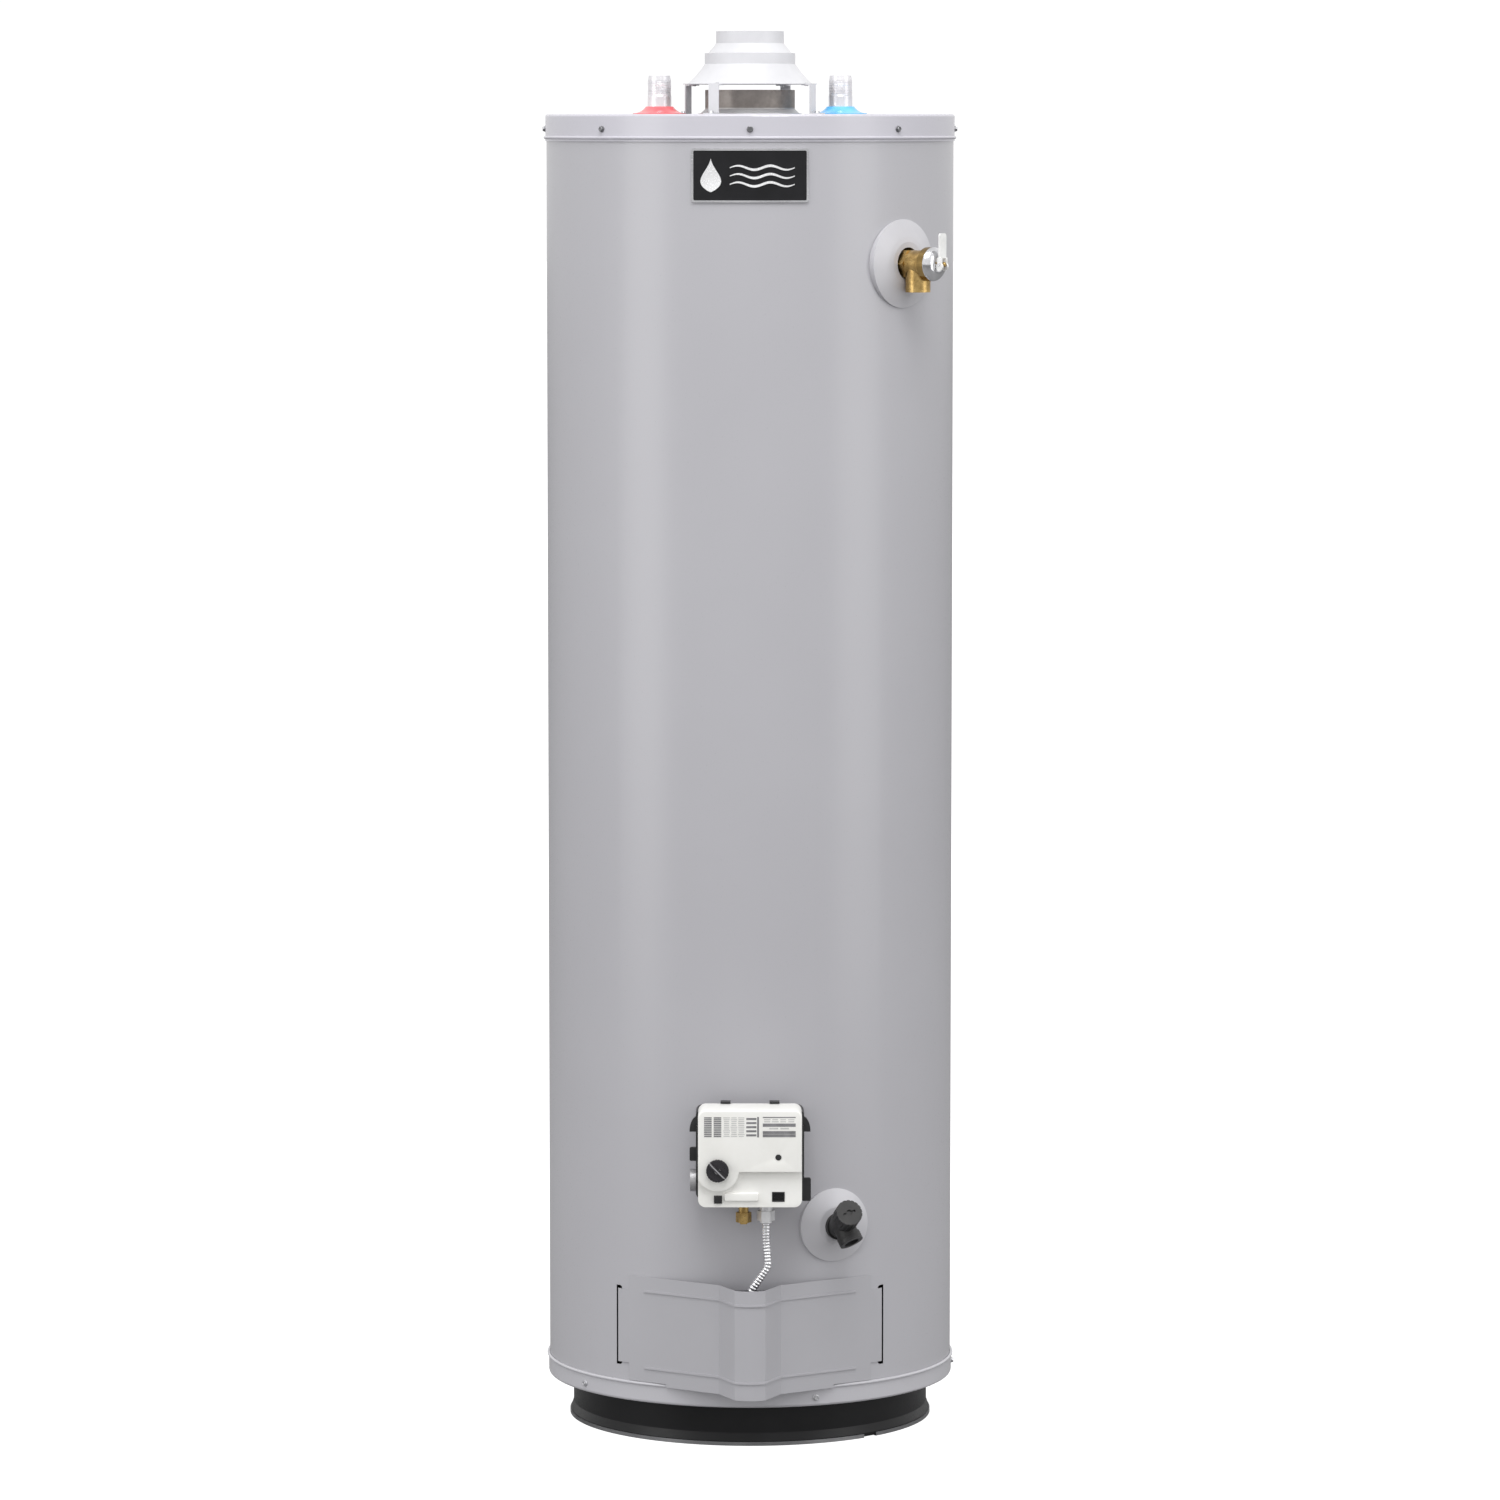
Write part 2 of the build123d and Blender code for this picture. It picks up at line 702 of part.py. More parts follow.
anode_top = tank_top + 0.6 * head_rise + spud_length
with BuildPart() as anode_rod:
    with BuildSketch(Plane.XY.offset(anode_top)):
        with Locations((0, anode_y)):
            RegularPolygon(anode_plug_r + 2.5, 6)
    extrude(amount=9)
    with BuildSketch(Plane.XY.offset(anode_top - spud_length - 6)):
        with Locations((0, anode_y)):
            Circle(anode_plug_r)
    extrude(amount=spud_length + 6)
    with BuildSketch(Plane.XY.offset(anode_top - anode_length)):
        with Locations((0, anode_y)):
            Circle(anode_r)
    extrude(amount=anode_length - spud_length)
anode_rod.part.label = "anode_rod"
export_step(anode_rod.part, "parts/anode_rod.step")

# Draught hood: a stepped bell on four strap legs over the flue's collar

hood_low = cap_top + hood_gap
with BuildPart() as draft_hood:
    with BuildSketch(Plane.XZ):
        with BuildLine():
            Polyline(
                (vent_r, cap_top + hood_top),
                (vent_r, cap_top + vent_collar_z),
                (step_r - 4.5, cap_top + step_collar_top + 0.6),
                (step_r, cap_top + step_collar_top),
                (step_r, cap_top + step_collar_z),
            )
            ThreePointArc(
                (step_r, cap_top + step_collar_z),
                (hood_mouth_r - 9.6, hood_low + 10.4),
                (hood_mouth_r, hood_low + sheet),
            )
            Polyline(
                (hood_mouth_r, hood_low + sheet),
                (hood_rim_r, hood_low + sheet),
                (hood_rim_r, hood_low),
                (hood_mouth_r - 1.2, hood_low),
            )
            ThreePointArc(
                (hood_mouth_r - 1.2, hood_low),
                (hood_mouth_r - 10.3, hood_low + 9.8),
                (step_r - sheet, cap_top + step_collar_z - 0.2),
            )
            Polyline(
                (step_r - sheet, cap_top + step_collar_z - 0.2),
                (step_r - sheet, cap_top + step_collar_top - sheet),
                (step_r - 5, cap_top + step_collar_top - sheet + 0.5),
                (vent_r - sheet, cap_top + vent_collar_z - 0.4),
                (vent_r - sheet, cap_top + hood_top),
                (vent_r, cap_top + hood_top),
            )
        make_face()
    revolve(axis=Axis.Z)
    with Locations(Location((0, 0, hood_low))):
        with PolarLocations(rivet_at, 4, start_angle=leg_azimuths[0] - 90):
            Cylinder(rivet_r + close_fit, 6, mode=Mode.SUBTRACT)
draft_hood.part.label = "draft_hood"
export_step(draft_hood.part, "parts/draft_hood.step")

with BuildPart() as hood_legs:
    for azimuth in leg_azimuths:
        with BuildSketch(section_plane(azimuth, cap_top)):
            with BuildLine():
                Polyline(
                    (leg_r, 0),
                    (leg_r + leg_foot, 0),
                    (leg_r + leg_foot, leg_wall),
                    (leg_r + leg_wall, leg_wall),
                    (leg_r + leg_wall, hood_gap),
                    (hood_mouth_r, hood_gap),
                    (hood_mouth_r, hood_gap - leg_wall),
                    (leg_r, hood_gap - leg_wall),
                    close=True,
                )
            make_face()
        extrude(amount=leg_width / 2, both=True)
    with Locations(Location((0, 0, hood_low))):
        with PolarLocations(rivet_at, 4, start_angle=leg_azimuths[0] - 90):
            Cylinder(rivet_r + close_fit, 6, mode=Mode.SUBTRACT)
    with Locations(Location((0, 0, cap_top))):
        with PolarLocations(leg_r + leg_foot / 2, 4, start_angle=leg_azimuths[0] - 90):
            Cylinder(leg_screw_r + close_fit, 6, mode=Mode.SUBTRACT)
hood_legs.part.label = "hood_legs"
export_step(hood_legs.part, "parts/hood_legs.step")

with BuildPart() as hood_fasteners:
    with Locations(Location((0, 0, hood_low + sheet))):
        with PolarLocations(rivet_at, 4, start_angle=leg_azimuths[0] - 90):
            Cone(2.3, 1.3, 1.0, align=(Align.CENTER, Align.CENTER, Align.MIN))
            Cylinder(rivet_r, sheet + leg_wall, align=(Align.CENTER, Align.CENTER, Align.MAX))
            with Locations((0, 0, -sheet - leg_wall)):
                Cylinder(2.2, 0.8, align=(Align.CENTER, Align.CENTER, Align.MAX))
    with Locations(Location((0, 0, cap_top + leg_wall))):
        with PolarLocations(leg_r + leg_foot / 2, 4, start_angle=leg_azimuths[0] - 90):
            Cone(3.4, 2.6, 2.2, align=(Align.CENTER, Align.CENTER, Align.MIN))
            Cylinder(leg_screw_r, leg_wall + screw_reach, align=(Align.CENTER, Align.CENTER, Align.MAX))
hood_fasteners.part.label = "hood_fasteners"
export_step(hood_fasteners.part, "parts/hood_fasteners.step")

collar_in = flue_r + collar_gap
with BuildPart() as flue_collar:
    with BuildSketch(Plane.XZ):
        with BuildLine():
            Polyline(
                (collar_in, cap_top + collar_top),
                (collar_in + sheet, cap_top + collar_top),
                (collar_in + sheet, cap_top + 5.6),
                (collar_in + 6, cap_top + sheet),
                (collar_in + 8.4, cap_top + sheet),
                (collar_in + 8.4, cap_top),
                (collar_in + 5.5, cap_top),
                (collar_in, cap_top + 5),
                close=True,
            )
        make_face()
    revolve(axis=Axis.Z)
flue_collar.part.label = "flue_collar"
export_step(flue_collar.part, "parts/flue_collar.step")

# Relief valve: a plate on the jacket, a brass body with a probe in the tank, and a lever that lifts
# the stem against its spring

with BuildPart() as relief_escutcheon:
    with BuildSketch(relief_axis):
        with BuildLine():
            Polyline(
                (jacket_r - 8, relief_plate_r),
                (jacket_r + 1.4, relief_plate_r),
                (jacket_r + 7.5, relief_hole_r + 12),
                (jacket_r + 9, relief_hole_r + 6),
                (jacket_r + 9, relief_hole_r),
                (jacket_r + 7.8, relief_hole_r),
                (jacket_r + 7.8, relief_hole_r + 5.8),
                (jacket_r + 6.3, relief_hole_r + 11.6),
                (jacket_r + 0.4, relief_plate_r - 1.2),
                (jacket_r - 8, relief_plate_r - 1.2),
                close=True,
            )
        make_face()
    revolve(axis=along(relief_axis))
    with Locations((0, 0, relief_z)):
        Cylinder(jacket_r + close_fit, 4 * relief_plate_r, mode=Mode.SUBTRACT)
relief_escutcheon.part.label = "relief_escutcheon"
export_step(relief_escutcheon.part, "parts/relief_escutcheon.step")

relief_outlet_s = relief_bonnet_s - relief_outlet_r - close_fit
seat_s = jacket_r + 22.0
with BuildPart() as relief_valve_body:
    with BuildSketch(relief_axis):
        with BuildLine():
            Polyline(
                (relief_inner, 0),
                (relief_inner, relief_shank_r),
                (relief_hex, relief_shank_r),
                (relief_barrel, relief_shank_r),
                (relief_barrel, relief_barrel_r),
                (relief_bonnet_s + 6, relief_barrel_r),
                (relief_bonnet_s + 6, 0),
                close=True,
            )
        make_face()
    revolve(axis=along(relief_axis))
    with BuildSketch(radial_plane(relief_azimuth, relief_z, relief_hex)):
        RegularPolygon(relief_hole_r - 0.9, 6)
    extrude(amount=relief_barrel - relief_hex)
    outlet_at = radial_plane(relief_azimuth, relief_z, relief_outlet_s).origin
    with Locations(outlet_at):
        Cylinder(
            relief_outlet_r,
            relief_outlet_drop,
            align=(Align.CENTER, Align.CENTER, Align.MAX),
        )
    with Locations(outlet_at - Vector(0, 0, 12)):
        Cylinder(
            relief_outlet_bore_r,
            relief_outlet_drop,
            align=(Align.CENTER, Align.CENTER, Align.MAX),
            mode=Mode.SUBTRACT,
        )
    with BuildSketch(relief_axis):
        with BuildLine():
            Polyline(
                (relief_inner - 1, 0),
                (relief_inner - 1, 7),
                (seat_s, 7),
                (seat_s, 11.5),
                (relief_bonnet_s + 7, 11.5),
                (relief_bonnet_s + 7, 0),
                close=True,
            )
        make_face()
    revolve(axis=along(relief_axis), mode=Mode.SUBTRACT)
relief_valve_body.part.label = "relief_valve_body"
export_step(relief_valve_body.part, "parts/relief_valve_body.step")

with BuildPart() as relief_bonnet:
    with BuildSketch(relief_axis):
        with BuildLine():
            Polyline(
                (relief_bonnet_s, relief_barrel_r + close_fit),
                (relief_bonnet_s, relief_bonnet_r),
                (relief_bonnet_end - 7.5, relief_bonnet_r),
            )
            ThreePointArc(
                (relief_bonnet_end - 7.5, relief_bonnet_r),
                (relief_bonnet_end - 1.9, relief_bonnet_r - 4.4),
                (relief_bonnet_end, 8.5),
            )
            Polyline(
                (relief_bonnet_end, 8.5),
                (relief_bonnet_end, relief_stem_r + running_fit),
                (relief_bonnet_end - 3, relief_stem_r + running_fit),
                (relief_bonnet_end - 3, 12),
                (relief_bonnet_s + 6, 12),
                (relief_bonnet_s + 6, relief_barrel_r + close_fit),
                (relief_bonnet_s, relief_barrel_r + close_fit),
            )
        make_face()
    revolve(axis=along(relief_axis))
relief_bonnet.part.label = "relief_bonnet"
export_step(relief_bonnet.part, "parts/relief_bonnet.step")

with BuildPart() as relief_probe:
    with BuildSketch(relief_axis):
        with BuildLine():
            Polyline(
                (relief_inner - 100, 0),
                (relief_inner - 100, 4.5),
                (relief_inner, 4.5),
                (relief_inner, 6.95),
                (relief_inner + 8, 6.95),
                (relief_inner + 8, 0),
                close=True,
            )
        make_face()
    revolve(axis=along(relief_axis))
relief_probe.part.label = "relief_probe"
export_step(relief_probe.part, "parts/relief_probe.step")

pin_plane = radial_plane(relief_azimuth, relief_z, relief_pin_s)
pin_across = Plane(origin=pin_plane.origin, z_dir=pin_plane.x_dir)
stem_collar = seat_s + 5.0
with BuildPart() as relief_stem:
    with BuildSketch(relief_axis):
        with BuildLine():
            Polyline(
                (seat_s + 0.4, 0),
                (seat_s + 0.4, 9.5),
                (stem_collar, 9.5),
                (stem_collar, relief_stem_r),
                (relief_pin_s + 3.8, relief_stem_r),
                (relief_pin_s + 4.6, relief_stem_r - 0.8),
                (relief_pin_s + 4.6, 0),
                close=True,
            )
        make_face()
    revolve(axis=along(relief_axis))
    with Locations(pin_across):
        Cylinder(relief_pin_r + 0.02, 20, mode=Mode.SUBTRACT)
relief_stem.part.label = "relief_stem"
export_step(relief_stem.part, "parts/relief_stem.step")

spring_length = relief_bonnet_end - 3 - stem_collar - relief_lift - moving_gap - 1.8
with BuildPart() as relief_spring:
    with BuildLine():
        coil = Helix(pitch=spring_length / 6, height=spring_length, radius=6.4)
    with BuildSketch(Plane(origin=coil @ 0, z_dir=coil % 0)):
        Circle(0.9)
    sweep(path=coil, is_frenet=True)
relief_spring.part.location = radial_plane(relief_azimuth, relief_z, stem_collar + 0.95).location
relief_spring.part.label = "relief_spring"
export_step(relief_spring.part, "parts/relief_spring.step")

with BuildPart() as relief_lever_pin:
    with Locations(pin_across):
        Cylinder(relief_pin_r, cheek_gap + 2 * lever_wall + 1.6)
relief_lever_pin.part.label = "relief_lever_pin"
export_step(relief_lever_pin.part, "parts/relief_lever_pin.step")

lever_plane = section_plane(relief_azimuth, relief_z, relief_pin_s)
bar_low = relief_stem_r + 4.0
bar_half = cheek_gap / 2 + lever_wall
with BuildPart() as relief_lever:
    for side in (-1, 1):
        with BuildSketch(lever_plane.offset(side * (cheek_gap + lever_wall) / 2)):
            with Locations((0, -cam_offset)):
                Circle(cam_r)
            with Locations((0, bar_low / 2)):
                Rectangle(2 * 2.9, bar_low + 2)
        extrude(amount=lever_wall / 2, both=True)
    with BuildSketch(pin_plane.offset(-lever_wall / 2)):
        with Locations((0, (bar_low + lever_length) / 2)):
            RectangleRounded(2 * bar_half, lever_length - bar_low, 3.0)
        with Locations((0, bar_low + 2)):
            Rectangle(2 * bar_half, 4)
    extrude(amount=lever_wall)
    with Locations(pin_across):
        Cylinder(relief_pin_r + running_fit, 30, mode=Mode.SUBTRACT)
relief_lever.part.label = "relief_lever"
export_step(relief_lever.part, "parts/relief_lever.step")

# Drain valve: a plastic valve with a stem tilted up and a hose outlet tilted down

drain_level = section_plane(drain_azimuth, drain_z)
with BuildPart() as drain_escutcheon:
    with BuildSketch(drain_level):
        with BuildLine():
            Polyline(
                (jacket_r - 8, drain_plate_r),
                (jacket_r + 1.4, drain_plate_r),
                (jacket_r + 8.6, drain_plate_r - 17.6),
                (jacket_r + 9.2, drain_plate_r - 19.6),
                (jacket_r + 9.2, drain_shank_r + 1),
                (jacket_r + 8, drain_shank_r + 1),
                (jacket_r + 8, drain_plate_r - 20),
                (jacket_r + 7.4, drain_plate_r - 18.2),
                (jacket_r + 0.4, drain_plate_r - 1.2),
                (jacket_r - 8, drain_plate_r - 1.2),
                close=True,
            )
        make_face()
    revolve(axis=along(drain_level))
    with Locations((0, 0, drain_z)):
        Cylinder(jacket_r + close_fit, 4 * drain_plate_r, mode=Mode.SUBTRACT)
drain_escutcheon.part.label = "drain_escutcheon"
export_step(drain_escutcheon.part, "parts/drain_escutcheon.step")

drain_square = radial_plane(drain_azimuth, drain_z, drain_turn, drain_tilt, drain_twist)
chamber_at = 12.0
chamber_centre = drain_square.offset(chamber_at).origin
outlet_facing = radial_plane(drain_azimuth, drain_z, drain_turn, drain_outlet_tilt, drain_twist)
outlet_plane = Plane(chamber_centre, x_dir=outlet_facing.x_dir, z_dir=outlet_facing.z_dir)
from_base = (Align.CENTER, Align.CENTER, Align.MIN)
drain_inner = tank_r - 6.0
knob_skirt_at = 26.5
knob_top_at = 45.0
knob_plate = 4.5
with BuildPart() as drain_valve_body:
    with Locations(radial_plane(drain_azimuth, drain_z, drain_inner)):
        Cylinder(drain_shank_r, drain_turn - drain_inner - 4, align=from_base)
    with Locations(radial_plane(drain_azimuth, drain_z, jacket_r + 9.3)):
        Cylinder(drain_shank_r + 2.2, 5.5, align=from_base)
    with Locations(drain_square):
        Sphere(drain_shank_r)
        Cylinder(drain_shank_r + 0.6, 24, align=from_base)
        Cylinder(11.5, knob_skirt_at - moving_gap, align=from_base)
    with Locations(outlet_plane):
        Cylinder(drain_neck_r, drain_outlet_length, align=from_base)
    with Locations(outlet_plane.offset(drain_outlet_length - drain_thread)):
        Cylinder(drain_outlet_r, drain_thread, align=from_base)
    with Locations(drain_square.offset(4)):
        Cylinder(9, 18, align=from_base, mode=Mode.SUBTRACT)
    with Locations(drain_square):
        Cylinder(5, 10, align=from_base, mode=Mode.SUBTRACT)
        Cylinder(drain_stem_r + running_fit, 40, align=from_base, mode=Mode.SUBTRACT)
        Sphere(6, mode=Mode.SUBTRACT)
    with Locations(radial_plane(drain_azimuth, drain_z, drain_inner)):
        Cylinder(6, drain_turn - drain_inner, align=from_base, mode=Mode.SUBTRACT)
    with Locations(outlet_plane):
        Cylinder(8.5, drain_outlet_length + 1, align=from_base, mode=Mode.SUBTRACT)
drain_valve_body.part.label = "drain_valve_body"
export_step(drain_valve_body.part, "parts/drain_valve_body.step")

with BuildPart() as drain_seat_washer:
    with Locations(drain_square.offset(4.3)):
        Cylinder(7.5, 3, align=from_base)
        Cylinder(relief_pin_r + 0.5, 3, align=from_base, mode=Mode.SUBTRACT)
drain_seat_washer.part.label = "drain_seat_washer"
export_step(drain_seat_washer.part, "parts/drain_seat_washer.step")

with BuildPart() as drain_stem:
    with Locations(drain_square.offset(7.3)):
        Cylinder(drain_stem_r, knob_top_at - knob_plate - 7.3, align=from_base)
drain_stem.part.label = "drain_stem"
export_step(drain_stem.part, "parts/drain_stem.step")

with BuildPart() as drain_knob:
    with BuildSketch(drain_square.offset(knob_skirt_at)):
        Circle(drain_knob_r)
        with PolarLocations(drain_knob_r + 0.5, 18):
            Circle(1.1, mode=Mode.SUBTRACT)
    extrude(amount=knob_top_at - knob_skirt_at)
    with Locations(drain_square.offset(knob_skirt_at)):
        Cylinder(drain_stem_r, knob_top_at - knob_plate - knob_skirt_at, align=from_base, mode=Mode.SUBTRACT)
    with Locations(drain_square.offset(knob_top_at - 2)):
        Cylinder(3.4, 3, align=from_base, mode=Mode.SUBTRACT)
        Box(15, 2.4, 3, align=from_base, mode=Mode.SUBTRACT)
drain_knob.part.label = "drain_knob"
export_step(drain_knob.part, "parts/drain_knob.step")

# Gas control: a cast body on the front of the tank in a moulded cover, with its knob, button and lens

cover_back = jacket_r + frame_depth
cover_front = jacket_r + control_depth
lower_front = cover_front - cover_step
body_front = lower_front - 9.0
shelf_z = control_z + 40.0
control_mid = control_z + control_height / 2
knob_z = control_z + knob_up
button_z = control_z + button_up
lens_z = control_z + lens_up
plug_z = control_z + plug_up
inlet_z = control_z + inlet_up
inlet_depth = jacket_r + 18.9
body_low, body_high = control_z + 10.0, control_z + 95.0
body_half = control_half - 6.8
outlet_s = jacket_r + outlet_depth
pilot_x = -7.0

with BuildPart() as control_body:
    with BuildSketch(front_plane(jacket_r + 2)):
        with Locations((0, (body_low + body_high) / 2)):
            RectangleRounded(2 * body_half, body_high - body_low, 4)
    extrude(amount=body_front - 16 - jacket_r)
    with BuildSketch(front_plane(body_front - 14)):
        with Locations((0, (body_low + body_high) / 2)):
            RectangleRounded(2 * body_half - 12, body_high - body_low - 12, 4)
    extrude(amount=14)
    with BuildSketch(front_plane(body_front)):
        with Locations((knob_x, knob_z)):
            Circle(3 * shaft_r)
    extrude(amount=4)
    with Locations(Plane(origin=(-body_half, -inlet_depth, inlet_z), z_dir=(-1, 0, 0))):
        Cylinder(inlet_boss_r, inlet_boss, align=(Align.CENTER, Align.CENTER, Align.MIN))
        Cylinder(inlet_boss_r + 1.5, 6, align=(Align.CENTER, Align.CENTER, Align.MIN))
    with Locations(Plane(origin=(-body_half - inlet_boss, -inlet_depth, inlet_z), z_dir=(1, 0, 0))):
        Cylinder(
            inlet_bore_r,
            inlet_thread,
            align=(Align.CENTER, Align.CENTER, Align.MIN),
            mode=Mode.SUBTRACT,
        )
        Cylinder(
            inlet_bore_r - 3,
            2 * inlet_thread,
            align=(Align.CENTER, Align.CENTER, Align.MIN),
            mode=Mode.SUBTRACT,
        )
    with Locations((outlet_x, -outlet_s, body_low)):
        Cylinder(9, 8, align=(Align.CENTER, Align.CENTER, Align.MAX))
        Cylinder(tube_r + 2.3, 40, mode=Mode.SUBTRACT)
    with Locations((-24, -outlet_s, body_low)):
        Cylinder(3.2, 6, align=(Align.CENTER, Align.CENTER, Align.MAX))
    with Locations(front_at(body_front - 11, knob_x, knob_z)):
        Cylinder(
            shaft_r + running_fit,
            20,
            align=(Align.CENTER, Align.CENTER, Align.MIN),
            mode=Mode.SUBTRACT,
        )
control_body.part.label = "control_body"
export_step(control_body.part, "parts/control_body.step")

well_at = jacket_r + 2
with BuildPart() as control_thermowell:
    with BuildSketch(front_plane(tank_r - well_length)):
        with Locations((0, control_spud_z)):
            Circle(well_r)
    extrude(amount=well_at - tank_r + well_length)
    with BuildSketch(front_plane(well_at - 12)):
        with Locations((0, control_spud_z)):
            RegularPolygon(15, 6)
    extrude(amount=12)
control_thermowell.part.label = "control_thermowell"
export_step(control_thermowell.part, "parts/control_thermowell.step")

# Tray that carries the cover; its back edge follows the jacket

tray_half = control_half + 2.7
tray_wall = 3.0
tray_front = cover_back - lap_fit
tray_low, tray_high = control_z + 1.5, control_z + 101.0
ear_depth = 5.0
ear_z = control_z + 76.5
tab_low, tab_top = tray_high - 4.5, control_z + control_height + 2.6
with BuildPart() as control_mount_frame:
    with BuildSketch(front_plane(jacket_r - 20)):
        with Locations((0, (tray_low + tray_high) / 2)):
            RectangleRounded(2 * tray_half, tray_high - tray_low, 7)
            RectangleRounded(
                2 * (tray_half - tray_wall),
                tray_high - tray_low - 2 * tray_wall,
                4,
                mode=Mode.SUBTRACT,
            )
    extrude(amount=tray_front - jacket_r + 20)
    for side in (-1, 1):
        with BuildSketch(front_plane(jacket_r + 6)):
            with Locations((side * (body_half + tray_half - tray_wall + 0.5) / 2, control_mid + 4)):
                Rectangle(tray_half - tray_wall - body_half + 0.3, 12)
        extrude(amount=16)
        with BuildSketch(front_plane(tray_front - ear_depth)):
            with Locations((side * (tray_half - 2), ear_z)):
                Ellipse(9, 17)
                Rectangle(18, 34, align=(Align.CENTER, Align.MAX), mode=Mode.SUBTRACT)
            with Locations((side * 26.9, (tab_low + tab_top) / 2)):
                Rectangle(11, tab_top - tab_low)
        extrude(amount=ear_depth)
        with BuildSketch(front_plane(tray_front - ear_depth)):
            with Locations((side * 26.9, tab_top - 1)):
                Rectangle(11, 2)
        extrude(amount=ear_depth + 6)
        with BuildSketch(front_plane(tray_front)):
            with Locations((side * (control_half + lap_fit + 1.1), control_mid)):
                Rectangle(2.2, 60)
        extrude(amount=6)
    with BuildSketch(front_plane(tray_front - ear_depth)):
        with Locations((-tray_half - 2.5, control_z + 51.5)):
            RectangleRounded(9, 15, 2)
        with Locations((tray_half + 2.5, control_z + 12.2)):
            RectangleRounded(10, 25.6, 2)
    extrude(amount=ear_depth)
    with BuildSketch(front_plane(jacket_r - 30)):
        with Locations((0, body_low)):
            Rectangle(2 * (body_half + 0.1), 4)
        with Locations((0, (body_low + body_high) / 2)):
            Rectangle(2 * (body_half + 0.1), body_high - body_low)
    extrude(amount=100, mode=Mode.SUBTRACT)
    with Locations(Plane(origin=(-body_half, -inlet_depth, inlet_z), z_dir=(-1, 0, 0))):
        Cylinder(
            inlet_boss_r + 1,
            40,
            align=(Align.CENTER, Align.CENTER, Align.MIN),
            mode=Mode.SUBTRACT,
        )
    with Locations((0, 0, control_mid)):
        Cylinder(jacket_r + lap_fit, 2 * control_height, mode=Mode.SUBTRACT)
control_mount_frame.part.label = "control_mount_frame"
export_step(control_mount_frame.part, "parts/control_mount_frame.step")

with BuildPart() as control_cover:
    with BuildSketch(front_plane(cover_back)):
        with Locations((0, control_mid)):
            RectangleRounded(2 * control_half, control_height, control_corner)
    extrude(amount=cover_front - cover_back)
    fillet(control_cover.faces().sort_by(Axis.Y)[0].edges(), 2.0)
    with BuildSketch(front_plane(lower_front)):
        with Locations((0, (control_z + shelf_z) / 2 - 20)):
            Rectangle(3 * control_half, shelf_z - control_z + 40)
    extrude(amount=2 * cover_step, mode=Mode.SUBTRACT)
    with BuildSketch(front_plane(lower_front - cover_wall)):
        with Locations((knob_x, knob_z)):
            Circle(knob_boss_r)
        with Locations((0, control_mid)):
            Rectangle(2 * control_half, control_height, mode=Mode.INTERSECT)
    extrude(amount=cover_step + cover_wall)
    with BuildSketch(front_plane(lower_front - 1)):
        with Locations((-9.5, control_z + 11.5)):
            RectangleRounded(39, 10.5, 3)
    extrude(amount=4, taper=20)
    with BuildSketch(front_plane(cover_back)):
        with Locations((0, control_mid)):
            RectangleRounded(
                2 * (control_half - cover_wall),
                control_height - 2 * cover_wall,
                control_corner - cover_wall,
            )
    extrude(amount=lower_front - cover_wall - cover_back, mode=Mode.SUBTRACT)
    with BuildSketch(front_plane(cover_back)):
        with Locations((0, (shelf_z + cover_wall + control_z + control_height - cover_wall) / 2)):
            RectangleRounded(
                2 * (control_half - cover_wall),
                control_height - 2 * cover_wall - (shelf_z - control_z),
                control_corner - cover_wall,
            )
    extrude(amount=cover_front - cover_wall - cover_back, mode=Mode.SUBTRACT)
    with BuildSketch(front_plane(cover_back)):
        with Locations((knob_x, knob_z)):
            Circle(shaft_r + moving_gap)
        with Locations((lens_x, lens_z)):
            Circle(lens_r + close_fit)
        with Locations((plug_x, plug_z)):
            Rectangle(plug_width, plug_height)
        with Locations((button_x, button_z)):
            Rectangle(button_side + 2 * moving_gap, button_side + 2 * moving_gap)
    extrude(amount=control_depth, mode=Mode.SUBTRACT)
    with Locations((-1.5, -(cover_back + lower_front) / 2 + 6, control_z)):
        Box(57, 30, 8, mode=Mode.SUBTRACT)
control_cover.part.label = "control_cover"
export_step(control_cover.part, "parts/control_cover.step")

shaft_flat = 0.68 * shaft_r
knob_back = cover_front + knob_travel + moving_gap
knob_depth = cover_front + knob_front - knob_back
with BuildPart() as control_knob_shaft:
    with BuildSketch(front_plane(body_front - 10.5)):
        with Locations((knob_x, knob_z)):
            Circle(shaft_r)
    extrude(amount=knob_back + 3 - body_front + 10.5)
    with BuildSketch(front_plane(body_front + 5)):
        with Locations((knob_x, knob_z + shaft_flat + shaft_r)):
            Rectangle(4 * shaft_r, 2 * shaft_r)
    extrude(amount=40, mode=Mode.SUBTRACT)
control_knob_shaft.part.label = "control_knob_shaft"
export_step(control_knob_shaft.part, "parts/control_knob_shaft.step")

